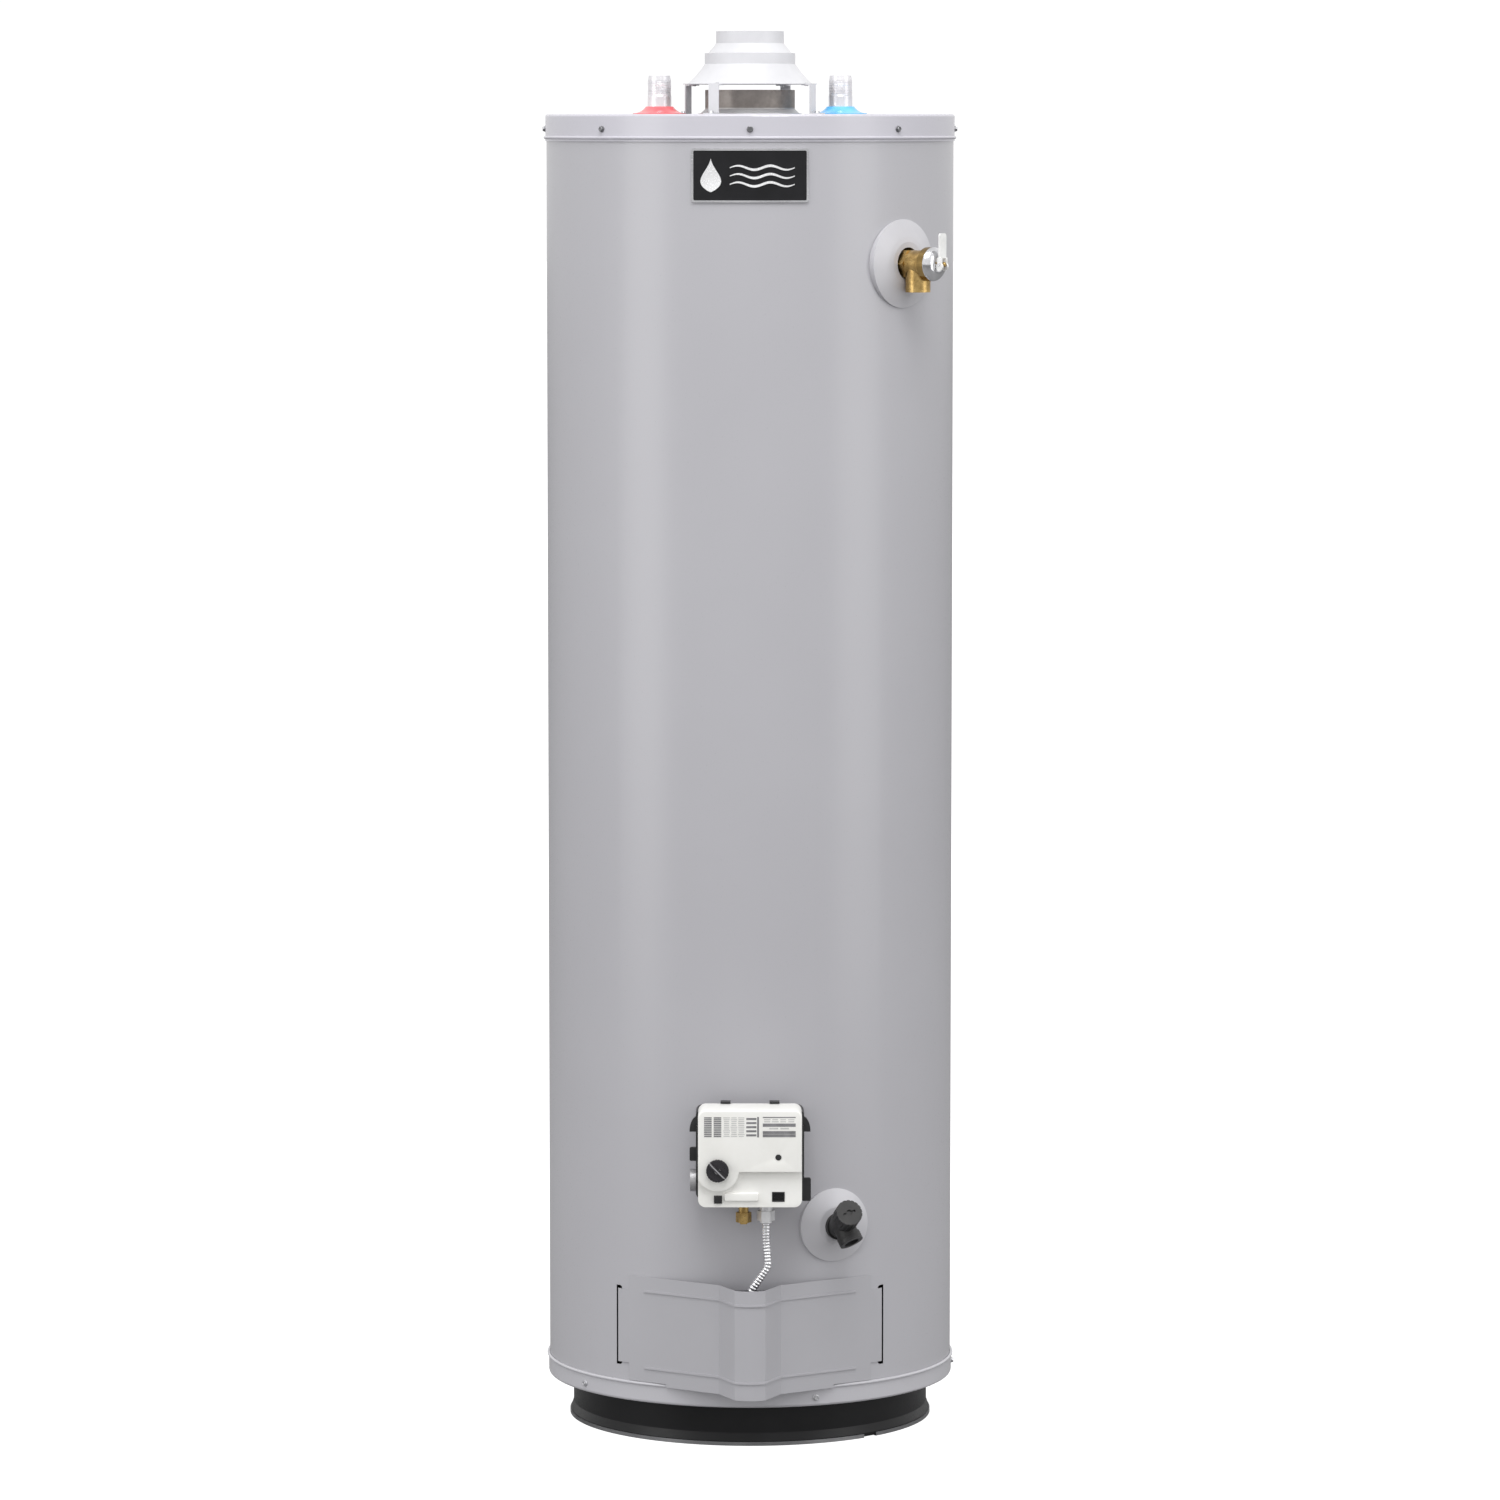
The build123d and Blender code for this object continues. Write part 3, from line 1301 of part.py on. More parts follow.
knob_bore_end = knob_back + 3 + knob_travel + moving_gap
with BuildPart() as control_knob:
    with BuildSketch(front_plane(knob_back)):
        with Locations((knob_x, knob_z)):
            Circle(knob_r)
            with PolarLocations(knob_r + 0.6, 24):
                Circle(0.9, mode=Mode.SUBTRACT)
    extrude(amount=0.5 * knob_depth)
    with BuildSketch(front_plane(knob_back)):
        with Locations((knob_x, knob_z)):
            Circle(knob_r - 1)
    extrude(amount=0.66 * knob_depth)
    with BuildSketch(front_plane(knob_back)):
        with Locations(Location((knob_x, knob_z), -38)):
            SlotOverall(2 * knob_r - 2.4, 5)
    extrude(amount=knob_depth, taper=4)
    with BuildSketch(front_plane(knob_back)):
        with Locations((knob_x, knob_z)):
            Circle(shaft_r + running_fit)
        with Locations((knob_x, knob_z + shaft_flat + running_fit + shaft_r)):
            Rectangle(4 * shaft_r, 2 * shaft_r, mode=Mode.SUBTRACT)
    extrude(amount=knob_bore_end - knob_back, mode=Mode.SUBTRACT)
control_knob.part.label = "control_knob"
export_step(control_knob.part, "parts/control_knob.step")

button_back = lower_front - cover_wall - moving_gap - 1.4
with BuildPart() as igniter_button:
    with BuildSketch(front_plane(button_back)):
        with Locations((button_x, button_z)):
            Rectangle(button_side, button_side)
    extrude(amount=lower_front + button_travel - button_back)
    fillet(igniter_button.faces().sort_by(Axis.Y)[0].edges(), 0.8)
    with BuildSketch(front_plane(button_back)):
        with Locations((button_x, button_z + 1.5)):
            Rectangle(button_side + 5, button_side + 1)
    extrude(amount=1.4)
igniter_button.part.label = "igniter_button"
export_step(igniter_button.part, "parts/igniter_button.step")

with BuildPart() as status_lens:
    with BuildSketch(front_plane(cover_front - cover_wall)):
        with Locations((lens_x, lens_z)):
            Circle(lens_r)
    extrude(amount=cover_wall + 0.6)
    fillet(status_lens.faces().sort_by(Axis.Y)[0].edges(), 0.5)
    with BuildSketch(front_plane(cover_front - cover_wall - 1.2)):
        with Locations((lens_x, lens_z)):
            Circle(lens_r + 1.2)
    extrude(amount=1.2)
status_lens.part.label = "status_lens"
export_step(status_lens.part, "parts/status_lens.step")

with BuildPart() as control_connector:
    with BuildSketch(front_plane(lower_front - cover_wall - 4)):
        with Locations((plug_x, plug_z)):
            Rectangle(plug_width - 0.4, plug_height - 0.4)
    extrude(amount=cover_wall + 4.6)
    with BuildSketch(front_plane(lower_front - cover_wall - 2)):
        with Locations((plug_x, plug_z)):
            Rectangle(plug_width - 2.8, plug_height - 2.8)
    extrude(amount=20, mode=Mode.SUBTRACT)
    with BuildSketch(front_plane(lower_front - cover_wall - 2)):
        with Locations((plug_x, plug_z)):
            with GridLocations(2.6, 3.4, 4, 2):
                Rectangle(0.8, 0.8)
    extrude(amount=3.6)
control_connector.part.label = "control_connector"
export_step(control_connector.part, "parts/control_connector.step")

# Manifold: the burner's gas tube, its nut under the control, and the plugged pilot fitting beside it

nut_low, nut_high = control_z - 20.0, control_z - 9.0
with BuildPart() as manifold_nut:
    with BuildSketch(Plane.XY.offset(nut_low)):
        with Locations((outlet_x, -outlet_s)):
            RegularPolygon(8.5, 6, major_radius=False)
    extrude(amount=nut_high - nut_low)
    with BuildSketch(Plane.XY.offset(nut_low - 2.5)):
        with Locations((outlet_x, -outlet_s)):
            Circle(6.6)
    extrude(amount=2.5)
    with BuildSketch(Plane.XY.offset(nut_high)):
        with Locations((outlet_x, -outlet_s)):
            Circle(tube_r + 2.2)
    extrude(amount=body_low + 12 - nut_high)
    with Locations((outlet_x, -outlet_s, nut_high)):
        Cylinder(tube_r + close_fit, 90, mode=Mode.SUBTRACT)
manifold_nut.part.label = "manifold_nut"
export_step(manifold_nut.part, "parts/manifold_nut.step")

with BuildPart() as manifold_fitting:
    with BuildSketch(Plane.XY.offset(nut_low - 2)):
        with Locations((pilot_x, -outlet_s)):
            RegularPolygon(7.5, 6, major_radius=False)
    extrude(amount=11)
    with BuildSketch(Plane.XY.offset(nut_low + 9)):
        with Locations((pilot_x, -outlet_s)):
            Circle(5.6)
    extrude(amount=body_low - nut_low - 9)
    with BuildSketch(Plane.XY.offset(nut_low - 4)):
        with Locations((pilot_x, -outlet_s)):
            Circle(4.2)
    extrude(amount=2)
manifold_fitting.part.label = "manifold_fitting"
export_step(manifold_fitting.part, "parts/manifold_fitting.step")

tube_low = door_top + 26.0
with BuildPart() as manifold_tube:
    with BuildLine() as tube_path:
        FilletPolyline(
            (outlet_x, -outlet_s, body_low + 6),
            (outlet_x, -outlet_s, tube_low + 32),
            (outlet_x + 2.8, -outlet_s - 2.4, tube_low),
            (2, -outlet_s, door_top - 1),
            (0, -jacket_r - 29, burner_z + 18),
            (0, -jacket_r - 8, burner_z),
            (0, -tank_r + 24, burner_z),
            radius=18,
        )
    with BuildSketch(Plane(origin=tube_path.line @ 0, z_dir=tube_path.line % 0)):
        Circle(tube_r)
    sweep()
manifold_tube.part.label = "manifold_tube"
export_step(manifold_tube.part, "parts/manifold_tube.step")

# Burner chamber: floor, flame arrestor, burner and pilot

with BuildPart() as chamber_floor:
    with BuildSketch(Plane.XY.offset(floor_z)):
        Circle(base_r - base_wall - close_fit)
        Circle(arrestor_r - 8, mode=Mode.SUBTRACT)
    extrude(amount=base_wall)
    with BuildSketch(Plane.XY.offset(floor_z)):
        Circle(base_r - base_wall - close_fit)
        Circle(base_r - 2 * base_wall - close_fit, mode=Mode.SUBTRACT)
    extrude(amount=14)
chamber_floor.part.label = "chamber_floor"
export_step(chamber_floor.part, "parts/chamber_floor.step")

with BuildPart() as flame_arrestor:
    with BuildSketch(Plane.XY.offset(floor_z + base_wall)):
        Circle(arrestor_r)
        for ring_at, count in ((12, 6), (25, 12), (38, 18), (51, 24)):
            with PolarLocations(ring_at, count):
                Circle(3.2, mode=Mode.SUBTRACT)
    extrude(amount=3.5)
flame_arrestor.part.label = "flame_arrestor"
export_step(flame_arrestor.part, "parts/flame_arrestor.step")

burner_low, burner_top = burner_z + 20.0, burner_z + 31.0
neck_drop = 6.0
throat_r = 13.0
venturi_r = 20.0
burner_wall = 1.4
with BuildPart() as burner_head:
    with BuildSketch(Plane.XZ):
        with BuildLine():
            Polyline(
                (venturi_r + close_fit, burner_low - neck_drop),
                (venturi_r + close_fit + burner_wall, burner_low - neck_drop),
                (venturi_r + close_fit + burner_wall, burner_low),
                (burner_r - 3, burner_low + 3),
                (burner_r, burner_low + 6),
                (burner_r, burner_top - 2),
                (burner_r - 2, burner_top),
                (0, burner_top),
                (0, burner_top - burner_wall),
                (burner_r - burner_wall - 1, burner_top - burner_wall),
                (burner_r - burner_wall, burner_top - 3),
                (burner_r - burner_wall, burner_low + 7),
                (burner_r - 4, burner_low + 3 + burner_wall),
                (venturi_r + close_fit, burner_low + burner_wall),
                close=True,
            )
        make_face()
    revolve(axis=Axis.Z)
    with Locations(Location((0, 0, burner_top))):
        for ring_at, count in ((burner_r - 9, 48), (burner_r - 20, 40)):
            with PolarLocations(ring_at, count):
                Cylinder(1.3, 6, mode=Mode.SUBTRACT)
    with Locations(Location((0, 0, floor_z + base_wall))):
        with PolarLocations(burner_r - 8, 3, start_angle=90):
            Cylinder(
                3,
                burner_low + 3.6 - floor_z - base_wall,
                align=(Align.CENTER, Align.CENTER, Align.MIN),
            )
burner_head.part.label = "burner_head"
export_step(burner_head.part, "parts/burner_head.step")

venturi_mouth = tank_r - 24.0 - 5.0
with BuildPart() as burner_venturi:
    with BuildSketch(Plane.YZ):
        with BuildLine():
            Polyline(
                (-venturi_mouth, burner_z),
                (-venturi_mouth, burner_z + venturi_r),
                (-venturi_mouth + 22, burner_z + throat_r),
                (12, burner_z + throat_r),
                (20, burner_z + throat_r - 8),
                (20, burner_z),
                close=True,
            )
        make_face()
    revolve(axis=Axis((0, 0, burner_z), (0, 1, 0)))
    with Locations((0, 0, burner_z)):
        Cylinder(venturi_r, burner_low - burner_z, align=(Align.CENTER, Align.CENTER, Align.MIN))
        Cylinder(
            venturi_r - burner_wall,
            burner_top,
            align=(Align.CENTER, Align.CENTER, Align.MIN),
            mode=Mode.SUBTRACT,
        )
    with BuildSketch(Plane.YZ):
        with BuildLine():
            Polyline(
                (-venturi_mouth - 1, burner_z),
                (-venturi_mouth - 1, burner_z + venturi_r - burner_wall),
                (-venturi_mouth + 22, burner_z + throat_r - burner_wall),
                (11, burner_z + throat_r - burner_wall),
                (18, burner_z + throat_r - 8 - burner_wall),
                (18, burner_z),
                close=True,
            )
        make_face()
    revolve(axis=Axis((0, 0, burner_z), (0, 1, 0)), mode=Mode.SUBTRACT)
burner_venturi.part.label = "burner_venturi"
export_step(burner_venturi.part, "parts/burner_venturi.step")

pilot_y = -burner_r - 7.0
with BuildPart() as pilot_assembly:
    with Locations((30, pilot_y, burner_z + 6)):
        Box(16, 1.6, 36, align=(Align.CENTER, Align.CENTER, Align.MIN))
    with Locations((30, pilot_y - 5, burner_z + 8)):
        Cylinder(4.2, 26, align=(Align.CENTER, Align.CENTER, Align.MIN))
    with Locations((38, pilot_y - 4.5, burner_z + 4)):
        Cylinder(2.2, 24, align=(Align.CENTER, Align.CENTER, Align.MIN))
        Cylinder(0.8, 34, align=(Align.CENTER, Align.CENTER, Align.MIN))
    with Locations((34, pilot_y - 3, burner_z + 12)):
        Box(14, 5, 3)
    with Locations((30, pilot_y + 9, burner_z + 8)):
        Box(10, 18, 1.6)
pilot_assembly.part.label = "pilot_assembly"
export_step(pilot_assembly.part, "parts/pilot_assembly.step")

# Inner door: a curved plate on a gasket over the chamber's opening, with a sight glass

plate_low, plate_high = chamber_low - 8.5, chamber_high + 8.5
plate_half = chamber_half + chamber_door_margin + 5
plate_r = tank_r + gasket_wall + chamber_door_wall
sight_azimuth, sight_z = 12.7, burner_z + 26.0
chamber_screws = [
    (azimuth, height) for azimuth in (-24, 24) for height in (chamber_low - 6, chamber_high + 6)
]
with BuildPart() as inner_door_gasket:
    with BuildSketch(front_plane(tank_r - 60)):
        with Locations((0, (plate_low + plate_high) / 2)):
            RectangleRounded(2 * plate_half, plate_high - plate_low, 3)
            RectangleRounded(2 * chamber_half, chamber_high - chamber_low, 6, mode=Mode.SUBTRACT)
    extrude(amount=100)
    with BuildSketch(Plane.XY.offset(plate_low)):
        Circle(tank_r + gasket_wall)
        Circle(tank_r + close_fit, mode=Mode.SUBTRACT)
    extrude(amount=plate_high - plate_low, mode=Mode.INTERSECT)
    with Locations(*[radial_plane(azimuth, height, tank_r) for azimuth, height in chamber_screws]):
        Cylinder(screw_r + close_fit, 4 * screw_reach, mode=Mode.SUBTRACT)
inner_door_gasket.part.label = "inner_door_gasket"
export_step(inner_door_gasket.part, "parts/inner_door_gasket.step")

with BuildPart() as inner_door:
    with BuildSketch(front_plane(tank_r - 60)):
        with Locations((0, (plate_low + plate_high) / 2)):
            RectangleRounded(2 * plate_half, plate_high - plate_low, 3)
    extrude(amount=100)
    with BuildSketch(Plane.XY.offset(plate_low)):
        Circle(plate_r)
        Circle(tank_r + gasket_wall, mode=Mode.SUBTRACT)
    extrude(amount=plate_high - plate_low, mode=Mode.INTERSECT)
    with Locations(*[radial_plane(azimuth, height, tank_r) for azimuth, height in chamber_screws]):
        Cylinder(screw_r + close_fit, 4 * screw_reach, mode=Mode.SUBTRACT)
    with Locations(radial_plane(sight_azimuth, sight_z, tank_r)):
        Cylinder(8, 20, mode=Mode.SUBTRACT)
    with Locations(front_at(tank_r, 0, burner_z)):
        Cylinder(tube_r + 0.4, 40, mode=Mode.SUBTRACT)
inner_door.part.label = "inner_door"
export_step(inner_door.part, "parts/inner_door.step")

with BuildPart() as inner_door_screws:
    with Locations(*[radial_plane(azimuth, height, plate_r) for azimuth, height in chamber_screws]):
        Cone(screw_head_r, 2.4, 2.2, align=(Align.CENTER, Align.CENTER, Align.MIN))
        Cylinder(screw_r, 2 * screw_reach, align=(Align.CENTER, Align.CENTER, Align.MAX))
inner_door_screws.part.label = "inner_door_screws"
export_step(inner_door_screws.part, "parts/inner_door_screws.step")

with BuildPart() as sight_glass:
    with BuildSketch(radial_plane(sight_azimuth, sight_z, plate_r - 0.4)):
        Circle(7.8)
    extrude(amount=0.9)
    with BuildSketch(radial_plane(sight_azimuth, sight_z, plate_r + 0.35)):
        Circle(11)
    extrude(amount=2.6)
    fillet(sight_glass.faces().filter_by(GeomType.PLANE).sort_by(Axis.Y)[0].edges(), 0.7)
sight_glass.part.label = "sight_glass"
export_step(sight_glass.part, "parts/sight_glass.step")

# Outer door: a folded sheet with a prow that clears the manifold, hung by two tabs in the jacket

door_r = jacket_r + moving_gap + sheet
prow_s, knee_s = jacket_r + prow_depth, jacket_r + knee_depth
with BuildSketch() as door_outline:
    with BuildLine():
        Polyline(
            (-wing_half, front_y(door_r, wing_half)),
            (-knee_half, -knee_s),
            (-prow_half, -prow_s),
        )
        ThreePointArc((-prow_half, -prow_s), (0, -jacket_r - door_reach), (prow_half, -prow_s))
        Polyline(
            (prow_half, -prow_s),
            (knee_half, -knee_s),
            (wing_half, front_y(door_r, wing_half)),
        )
        ThreePointArc(
            (wing_half, front_y(door_r, wing_half)),
            ((wing_half + door_half) / 2, front_y(door_r, (wing_half + door_half) / 2)),
            (door_half, front_y(door_r, door_half)),
        )
        Polyline(
            (door_half, front_y(door_r, door_half)),
            (door_half, -tank_r / 2),
            (-door_half, -tank_r / 2),
            (-door_half, front_y(door_r, door_half)),
        )
        ThreePointArc(
            (-door_half, front_y(door_r, door_half)),
            (-(wing_half + door_half) / 2, front_y(door_r, (wing_half + door_half) / 2)),
            (-wing_half, front_y(door_r, wing_half)),
        )
    make_face()
    fillet([v for v in door_outline.vertices() if abs(v.Y + knee_s) < 1 or abs(v.Y + prow_s) < 1], 4)

with BuildPart() as outer_door:
    with BuildSketch(Plane.XY.offset(door_bottom)):
        add(door_outline.sketch)
        offset(amount=-sheet, mode=Mode.SUBTRACT)
        Circle(jacket_r + moving_gap, mode=Mode.SUBTRACT)
    extrude(amount=door_top - door_bottom)
    for level in bead_levels:
        for rise, proud in ((bead_height, bead_proud / 2), (bead_height / 2, bead_proud)):
            with BuildSketch(Plane.XY.offset(level - rise / 2)):
                add(door_outline.sketch)
                offset(amount=proud)
                offset(door_outline.sketch, amount=-sheet / 2, mode=Mode.SUBTRACT)
                Circle(jacket_r + moving_gap, mode=Mode.SUBTRACT)
                Rectangle(2 * (wing_half - 1), 3 * jacket_r, mode=Mode.INTERSECT)
            extrude(amount=rise)
    with BuildSketch(Plane.XY.offset(door_tab_low)):
        for side in (-1, 1):
            with BuildLine():
                Polyline(
                    (side * slot_x, front_y(door_r, slot_x)),
                    (side * slot_x, front_y(door_r, slot_x) + tab_reach),
                    (side * (slot_x - sheet), front_y(door_r, slot_x) + tab_reach),
                    (side * (slot_x - sheet), front_y(door_r - sheet, slot_x - sheet)),
                    (side * (door_half - 0.4), front_y(door_r - sheet, door_half - 0.4)),
                    (side * (door_half - 0.4), front_y(door_r, door_half - 0.4)),
                    close=True,
                )
            make_face()
    extrude(amount=door_tab_high - door_tab_low)
    with Locations((-wing_half - 10, -jacket_r, door_bottom), (wing_half + 10, -jacket_r, door_bottom)):
        Box(72, jacket_r, 2 * (pan_z + pan_height + moving_gap - door_bottom), mode=Mode.SUBTRACT)
outer_door.part.label = "outer_door"
export_step(outer_door.part, "parts/outer_door.step")
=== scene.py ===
import json
import math

import bmesh
import bpy
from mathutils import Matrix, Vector


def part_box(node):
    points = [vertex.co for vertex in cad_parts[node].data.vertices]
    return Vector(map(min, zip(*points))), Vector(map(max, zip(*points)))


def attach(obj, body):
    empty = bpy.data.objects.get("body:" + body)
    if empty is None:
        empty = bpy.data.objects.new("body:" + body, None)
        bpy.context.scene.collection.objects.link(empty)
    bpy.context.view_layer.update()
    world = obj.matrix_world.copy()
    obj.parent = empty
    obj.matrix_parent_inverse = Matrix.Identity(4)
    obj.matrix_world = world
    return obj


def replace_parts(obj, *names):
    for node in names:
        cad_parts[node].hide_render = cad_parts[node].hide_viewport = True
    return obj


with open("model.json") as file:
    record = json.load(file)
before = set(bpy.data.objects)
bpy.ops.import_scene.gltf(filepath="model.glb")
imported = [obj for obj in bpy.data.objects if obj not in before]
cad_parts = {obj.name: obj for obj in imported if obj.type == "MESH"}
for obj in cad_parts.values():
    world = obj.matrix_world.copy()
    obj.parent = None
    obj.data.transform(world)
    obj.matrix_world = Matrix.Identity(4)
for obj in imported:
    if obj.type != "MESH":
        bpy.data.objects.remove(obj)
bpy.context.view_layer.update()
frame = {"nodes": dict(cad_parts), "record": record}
nodes = frame["nodes"]
print("frame loaded:", len(nodes), "nodes")

# camera, floor and studio light

cameraView = {"height": 1.469, "distance": 7.264, "pitch": 5.586, "lens": 154.5, "sensor": 36}
scene = bpy.context.scene
camera = bpy.data.objects.new("camera", bpy.data.cameras.new("camera"))
camera.data.lens = cameraView["lens"]
camera.data.sensor_width = cameraView["sensor"]
camera.location = (0, -cameraView["distance"], cameraView["height"])
camera.rotation_euler = (math.radians(90 - cameraView["pitch"]), 0, 0)
scene.collection.objects.link(camera)
scene.camera = camera
scene.view_settings.view_transform = "Standard"
scene.view_settings.look = "None"

studio = {
    "sky": 0.94,
    "backdrop": 1.05,
    "floor": 0.25,
    "floorSide": 30,
    "floorBack": 60,
    "floorRough": 0.9,
    "softboxes": [
        # place, aimed at, width, height, power
        ((-3.7, -2.15, 1.15), (0, 0, 0.95), 1.9, 4.6, 52),
        ((3.75, -2.0, 1.15), (0, 0, 0.95), 1.9, 4.6, 42),
        ((0, -2.1, 4.5), (0, 0, 1.1), 2.8, 2.2, 106),
    ],
}


def addSoftbox(name, place, target, width, height, power):
    light = bpy.data.lights.new(name, "AREA")
    light.shape = "RECTANGLE"
    light.size = width
    light.size_y = height
    light.energy = power
    box = bpy.data.objects.new(name, light)
    box.location = place
    box.rotation_euler = (Vector(target) - Vector(place)).to_track_quat("-Z", "Y").to_euler()
    scene.collection.objects.link(box)


for number, values in enumerate(studio["softboxes"]):
    addSoftbox(f"softbox{number}", *values)

# white behind the object, softer where it only lights
sky = bpy.data.worlds.new("studioSky")
sky.use_nodes = True
skyTree = sky.node_tree
ambient = skyTree.nodes["Background"]
ambient.inputs["Color"].default_value = (1, 1, 1, 1)
ambient.inputs["Strength"].default_value = studio["sky"]
backdrop = skyTree.nodes.new("ShaderNodeBackground")
backdrop.inputs["Color"].default_value = (1, 1, 1, 1)
backdrop.inputs["Strength"].default_value = studio["backdrop"]
seen = skyTree.nodes.new("ShaderNodeLightPath")
choice = skyTree.nodes.new("ShaderNodeMixShader")
skyTree.links.new(seen.outputs["Is Camera Ray"], choice.inputs[0])
skyTree.links.new(ambient.outputs[0], choice.inputs[1])
skyTree.links.new(backdrop.outputs[0], choice.inputs[2])
skyTree.links.new(choice.outputs[0], skyTree.nodes["World Output"].inputs["Surface"])
scene.world = sky

floorMesh = bpy.data.meshes.new("studioFloor")
side, back = studio["floorSide"], studio["floorBack"]
floorCorners = [(-side, -side, 0), (side, -side, 0), (side, back, 0), (-side, back, 0)]
floorMesh.from_pydata(floorCorners, [], [(0, 1, 2, 3)])
floor = bpy.data.objects.new("studioFloor", floorMesh)
scene.collection.objects.link(floor)
# the paper glows to the camera alone, so it looks as white as the backdrop and lights nothing
floorFinish = bpy.data.materials.new("floorPaper")
floorFinish.use_nodes = True
floorTree = floorFinish.node_tree
paper = floorTree.nodes["Principled BSDF"]
paper.inputs["Base Color"].default_value = (studio["floor"], studio["floor"], studio["floor"], 1)
paper.inputs["Roughness"].default_value = studio["floorRough"]
paper.inputs["Emission Color"].default_value = (1, 1, 1, 1)
onFloor = floorTree.nodes.new("ShaderNodeLightPath")
floorTree.links.new(onFloor.outputs["Is Camera Ray"], paper.inputs["Emission Strength"])
floorMesh.materials.append(floorFinish)
print("camera, floor and lights placed")

# shader groups that several finishes share

grainPlan = {"detail": 3, "rough": 0.55, "range": (0.3, 0.7)}
cloudPlan = {"detail": 4, "rough": 0.6, "range": (0.32, 0.68)}
dustPlan = {
    "scale": 22, "detail": 5, "rough": 0.65, "range": (0.3, 0.75), "upward": (0.35, 0.95), "dulls": 0.35,
}
scuffPlan = {"detail": 8, "rough": 0.72, "range": (0.62, 0.72)}
flakePlan = {"bendScale": 60, "bendDetail": 2, "bend": 0.004, "edge": (0.0, 0.5)}


def wire(tree, source, output, target, entry):
    tree.links.new(source.outputs[output], target.inputs[entry])


def shaderGroup(name, entries, exits):
    group = bpy.data.node_groups.new(name, "ShaderNodeTree")
    for label, kind, value in entries:
        group.interface.new_socket(name=label, in_out="INPUT", socket_type=kind).default_value = value
    for label in exits:
        group.interface.new_socket(name=label, in_out="OUTPUT", socket_type="NodeSocketFloat")
    return group, group.nodes.new("NodeGroupInput"), group.nodes.new("NodeGroupOutput")


def addNoise(tree, scale, detail, roughness=0.5):
    noise = tree.nodes.new("ShaderNodeTexNoise")
    noise.inputs["Scale"].default_value = scale
    noise.inputs["Detail"].default_value = detail
    noise.inputs["Roughness"].default_value = roughness
    return noise


def addRange(tree, low, high, toLow=0.0, toHigh=1.0):
    ramp = tree.nodes.new("ShaderNodeMapRange")
    ramp.inputs["From Min"].default_value = low
    ramp.inputs["From Max"].default_value = high
    ramp.inputs["To Min"].default_value = toLow
    ramp.inputs["To Max"].default_value = toHigh
    return ramp


def addMath(tree, operation, second=None):
    step = tree.nodes.new("ShaderNodeMath")
    step.operation = operation
    if second is not None:
        step.inputs[1].default_value = second
    return step


def makeSurfaceGrain():
    # fine grain for the bump, stretched along Streak, and slow unstretched clouds for the tone
    group, entry, out = shaderGroup(
        "surfaceGrain",
        [
            ("Vector", "NodeSocketVector", (0, 0, 0)),
            ("Streak", "NodeSocketVector", (1, 1, 1)),
            ("Grain Scale", "NodeSocketFloat", 600.0),
            ("Cloud Scale", "NodeSocketFloat", 5.0),
        ],
        ["Tone", "Grain", "Height"],
    )
    stretch = group.nodes.new("ShaderNodeVectorMath")
    stretch.operation = "MULTIPLY"
    wire(group, entry, "Vector", stretch, 0)
    wire(group, entry, "Streak", stretch, 1)
    grain = addNoise(group, 600, grainPlan["detail"], grainPlan["rough"])
    wire(group, stretch, "Vector", grain, "Vector")
    wire(group, entry, "Grain Scale", grain, "Scale")
    cloud = addNoise(group, 5, cloudPlan["detail"], cloudPlan["rough"])
    wire(group, entry, "Vector", cloud, "Vector")
    wire(group, entry, "Cloud Scale", cloud, "Scale")
    toneRange = addRange(group, *cloudPlan["range"])
    wire(group, cloud, "Fac", toneRange, "Value")
    grainRange = addRange(group, *grainPlan["range"])
    wire(group, grain, "Fac", grainRange, "Value")
    wire(group, toneRange, "Result", out, "Tone")
    wire(group, grainRange, "Result", out, "Grain")
    wire(group, grain, "Fac", out, "Height")
    return group


def makeDustAndScuff():
    # dust on what faces up, and sparse short rubs anywhere
    group, entry, out = shaderGroup(
        "dustAndScuff",
        [
            ("Vector", "NodeSocketVector", (0, 0, 0)),
            ("Dust", "NodeSocketFloat", 0.2),
            ("Scuff", "NodeSocketFloat", 0.1),
            ("Scuff Scale", "NodeSocketFloat", 40.0),
        ],
        ["Dust Mask", "Scuff Mask"],
    )
    geometry = group.nodes.new("ShaderNodeNewGeometry")
    split = group.nodes.new("ShaderNodeSeparateXYZ")
    wire(group, geometry, "Normal", split, "Vector")
    facing = addRange(group, *dustPlan["upward"])
    wire(group, split, "Z", facing, "Value")
    patch = addNoise(group, dustPlan["scale"], dustPlan["detail"], dustPlan["rough"])
    wire(group, entry, "Vector", patch, "Vector")
    patchRange = addRange(group, *dustPlan["range"])
    wire(group, patch, "Fac", patchRange, "Value")
    dust = addMath(group, "MULTIPLY")
    wire(group, facing, "Result", dust, 0)
    wire(group, patchRange, "Result", dust, 1)
    dustAmount = addMath(group, "MULTIPLY")
    wire(group, dust, "Value", dustAmount, 0)
    wire(group, entry, "Dust", dustAmount, 1)
    wire(group, dustAmount, "Value", out, "Dust Mask")
    rub = addNoise(group, 40, scuffPlan["detail"], scuffPlan["rough"])
    wire(group, entry, "Vector", rub, "Vector")
    wire(group, entry, "Scuff Scale", rub, "Scale")
    rubRange = addRange(group, *scuffPlan["range"])
    wire(group, rub, "Fac", rubRange, "Value")
    scuff = addMath(group, "MULTIPLY")
    wire(group, rubRange, "Result", scuff, 0)
    wire(group, entry, "Scuff", scuff, 1)
    wire(group, scuff, "Value", out, "Scuff Mask")
    return group


